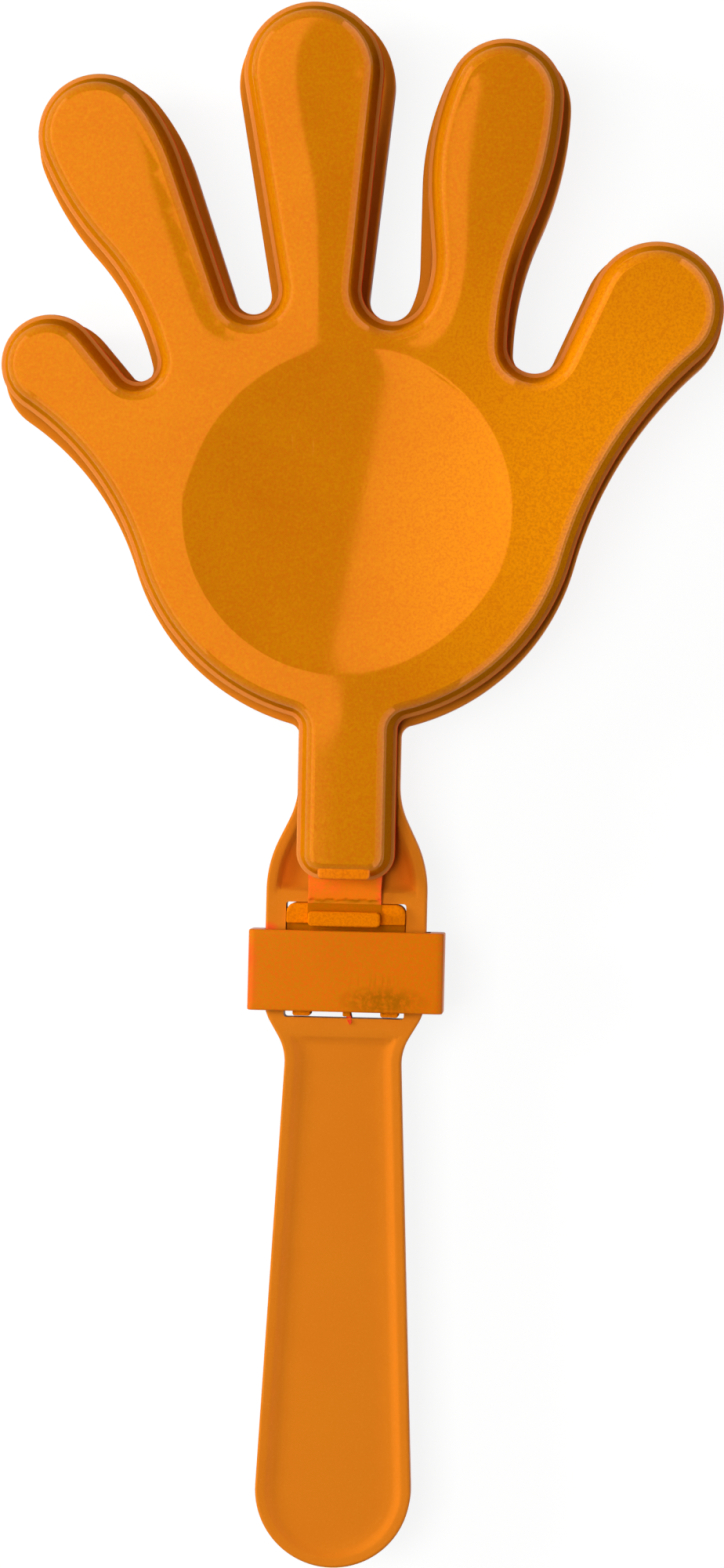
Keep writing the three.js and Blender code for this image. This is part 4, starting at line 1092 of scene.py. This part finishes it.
# %% Lamps, sky and floor
SKY_LEVEL = 0.15
FLOOR_GREY = "#505050"
FLOOR_HALF = 1.5
FLOOR_LEVEL = -0.0002
SHADOW_SHARE = 0.15
FLOOR_WHITE = 0.88
SOFTBOX_RADIANCE = 5.5
CARD_RADIANCE = 4.2
SOFTBOX_SIZE = (620.0, 900.0)
LOW_SIZE = (500.0, 500.0)
OVER = 1200.0
SOFTBOX_X = -68.0 - SOFTBOX_SIZE[0] / 2
OVERHEAD_X = SOFTBOX_X - 55.0
# name: centre, the point it faces, size, radiance
CARDS = {
    "softbox_left": ((SOFTBOX_X, 40, OVER), (SOFTBOX_X, 40, 0), SOFTBOX_SIZE, SOFTBOX_RADIANCE),
    "card_left": ((-800, 40, 825), (0, 40, 825), (1700, 1150), SOFTBOX_RADIANCE * 0.6),
    "card_right": ((800, 150, 705), (0, 150, 705), (3100, 1370), CARD_RADIANCE),
    "card_right_high": ((465, 40, OVER), (465, 40, 0), (470, 1500), CARD_RADIANCE),
}
LAMPS = {
    "overhead_left": ((OVERHEAD_X, 40, OVER), (OVERHEAD_X, 40, 0), SOFTBOX_SIZE, 9.1),
    "low_left": ((-1600, 200, 600), (0, 40, 0), LOW_SIZE, 26.0),
    "low_right": ((1800, 100, 110), (0, 40, 0), LOW_SIZE, 15.0),
    "low_far": ((-200, 1900, 420), (0, 60, 0), LOW_SIZE, 6.0),
}


def area_lamp(name, centre, target, size, radiance):
    """A rectangular lamp in bench millimetres. Its power is radiance * pi * area, so radiance 1 looks white."""
    data = bpy.data.lights.new(name, "AREA")
    data.shape = "RECTANGLE"
    data.size, data.size_y = (length * MM for length in size)
    data.energy = radiance * math.pi * data.size * data.size_y
    lamp = bpy.data.objects.new(name, data)
    place = Vector(on_bench(centre))
    towards = Vector(on_bench(target)) - place
    lamp.matrix_world = Matrix.Translation(place) @ towards.to_track_quat("-Z", "Y").to_matrix().to_4x4()
    bpy.context.scene.collection.objects.link(lamp)
    return lamp


for name, card in CARDS.items():
    area_lamp(name, *card).visible_diffuse = False
for name, lamp in LAMPS.items():
    area_lamp(name, *lamp).visible_glossy = False


def background_ray(node):
    """1 for a ray from the camera, from a mirror or through glass, and 0 for one that carries light."""
    seen = 0
    for kind in ("Camera", "Glossy", "Transmission"):
        seen = node("Math", (seen, node("LightPath", out=f"Is {kind} Ray")), operation="MAXIMUM")
    return seen


def make_sky():
    """White where the camera or a reflection sees it, and SKY_LEVEL as light."""
    world = bpy.data.worlds.new("sky")
    node = in_tree_of(world)
    strength = node("MapRange", (background_ray(node), 0, 1, SKY_LEVEL, 1))
    node("OutputWorld", {"Surface": node("Background", {"Strength": strength})})
    bpy.context.scene.world = world


def make_floor():
    """A floor that is mostly plain white, with a soft shadow, for the camera, and dark paint for other rays."""
    material = bpy.data.materials.new("pale_studio_floor")
    node = in_tree_of(material)
    paint = node("BsdfDiffuse", {"Color": FLOOR_GREY})
    shadow_keeper = node("BsdfDiffuse", {"Color": (SHADOW_SHARE, SHADOW_SHARE, SHADOW_SHARE, 1)})
    white = node("Emission", {"Strength": FLOOR_WHITE})
    seen = node("AddShader", (shadow_keeper, white))
    node("OutputMaterial", {"Surface": node("MixShader", (background_ray(node), paint, seen))})
    mesh = bpy.data.meshes.new("floor")
    square = [(x * FLOOR_HALF, y * FLOOR_HALF, FLOOR_LEVEL) for x, y in ((-1, -1), (1, -1), (1, 1), (-1, 1))]
    mesh.from_pydata(square, [], [(0, 1, 2, 3)])
    floor = bpy.data.objects.new("floor", mesh)
    bpy.context.scene.collection.objects.link(floor)
    mesh.materials.append(material)


make_sky()
make_floor()
bpy.context.scene.view_settings.view_transform = "Standard"
print(len(CARDS), "cards for the gloss,", len(LAMPS), "lamps for the colours")
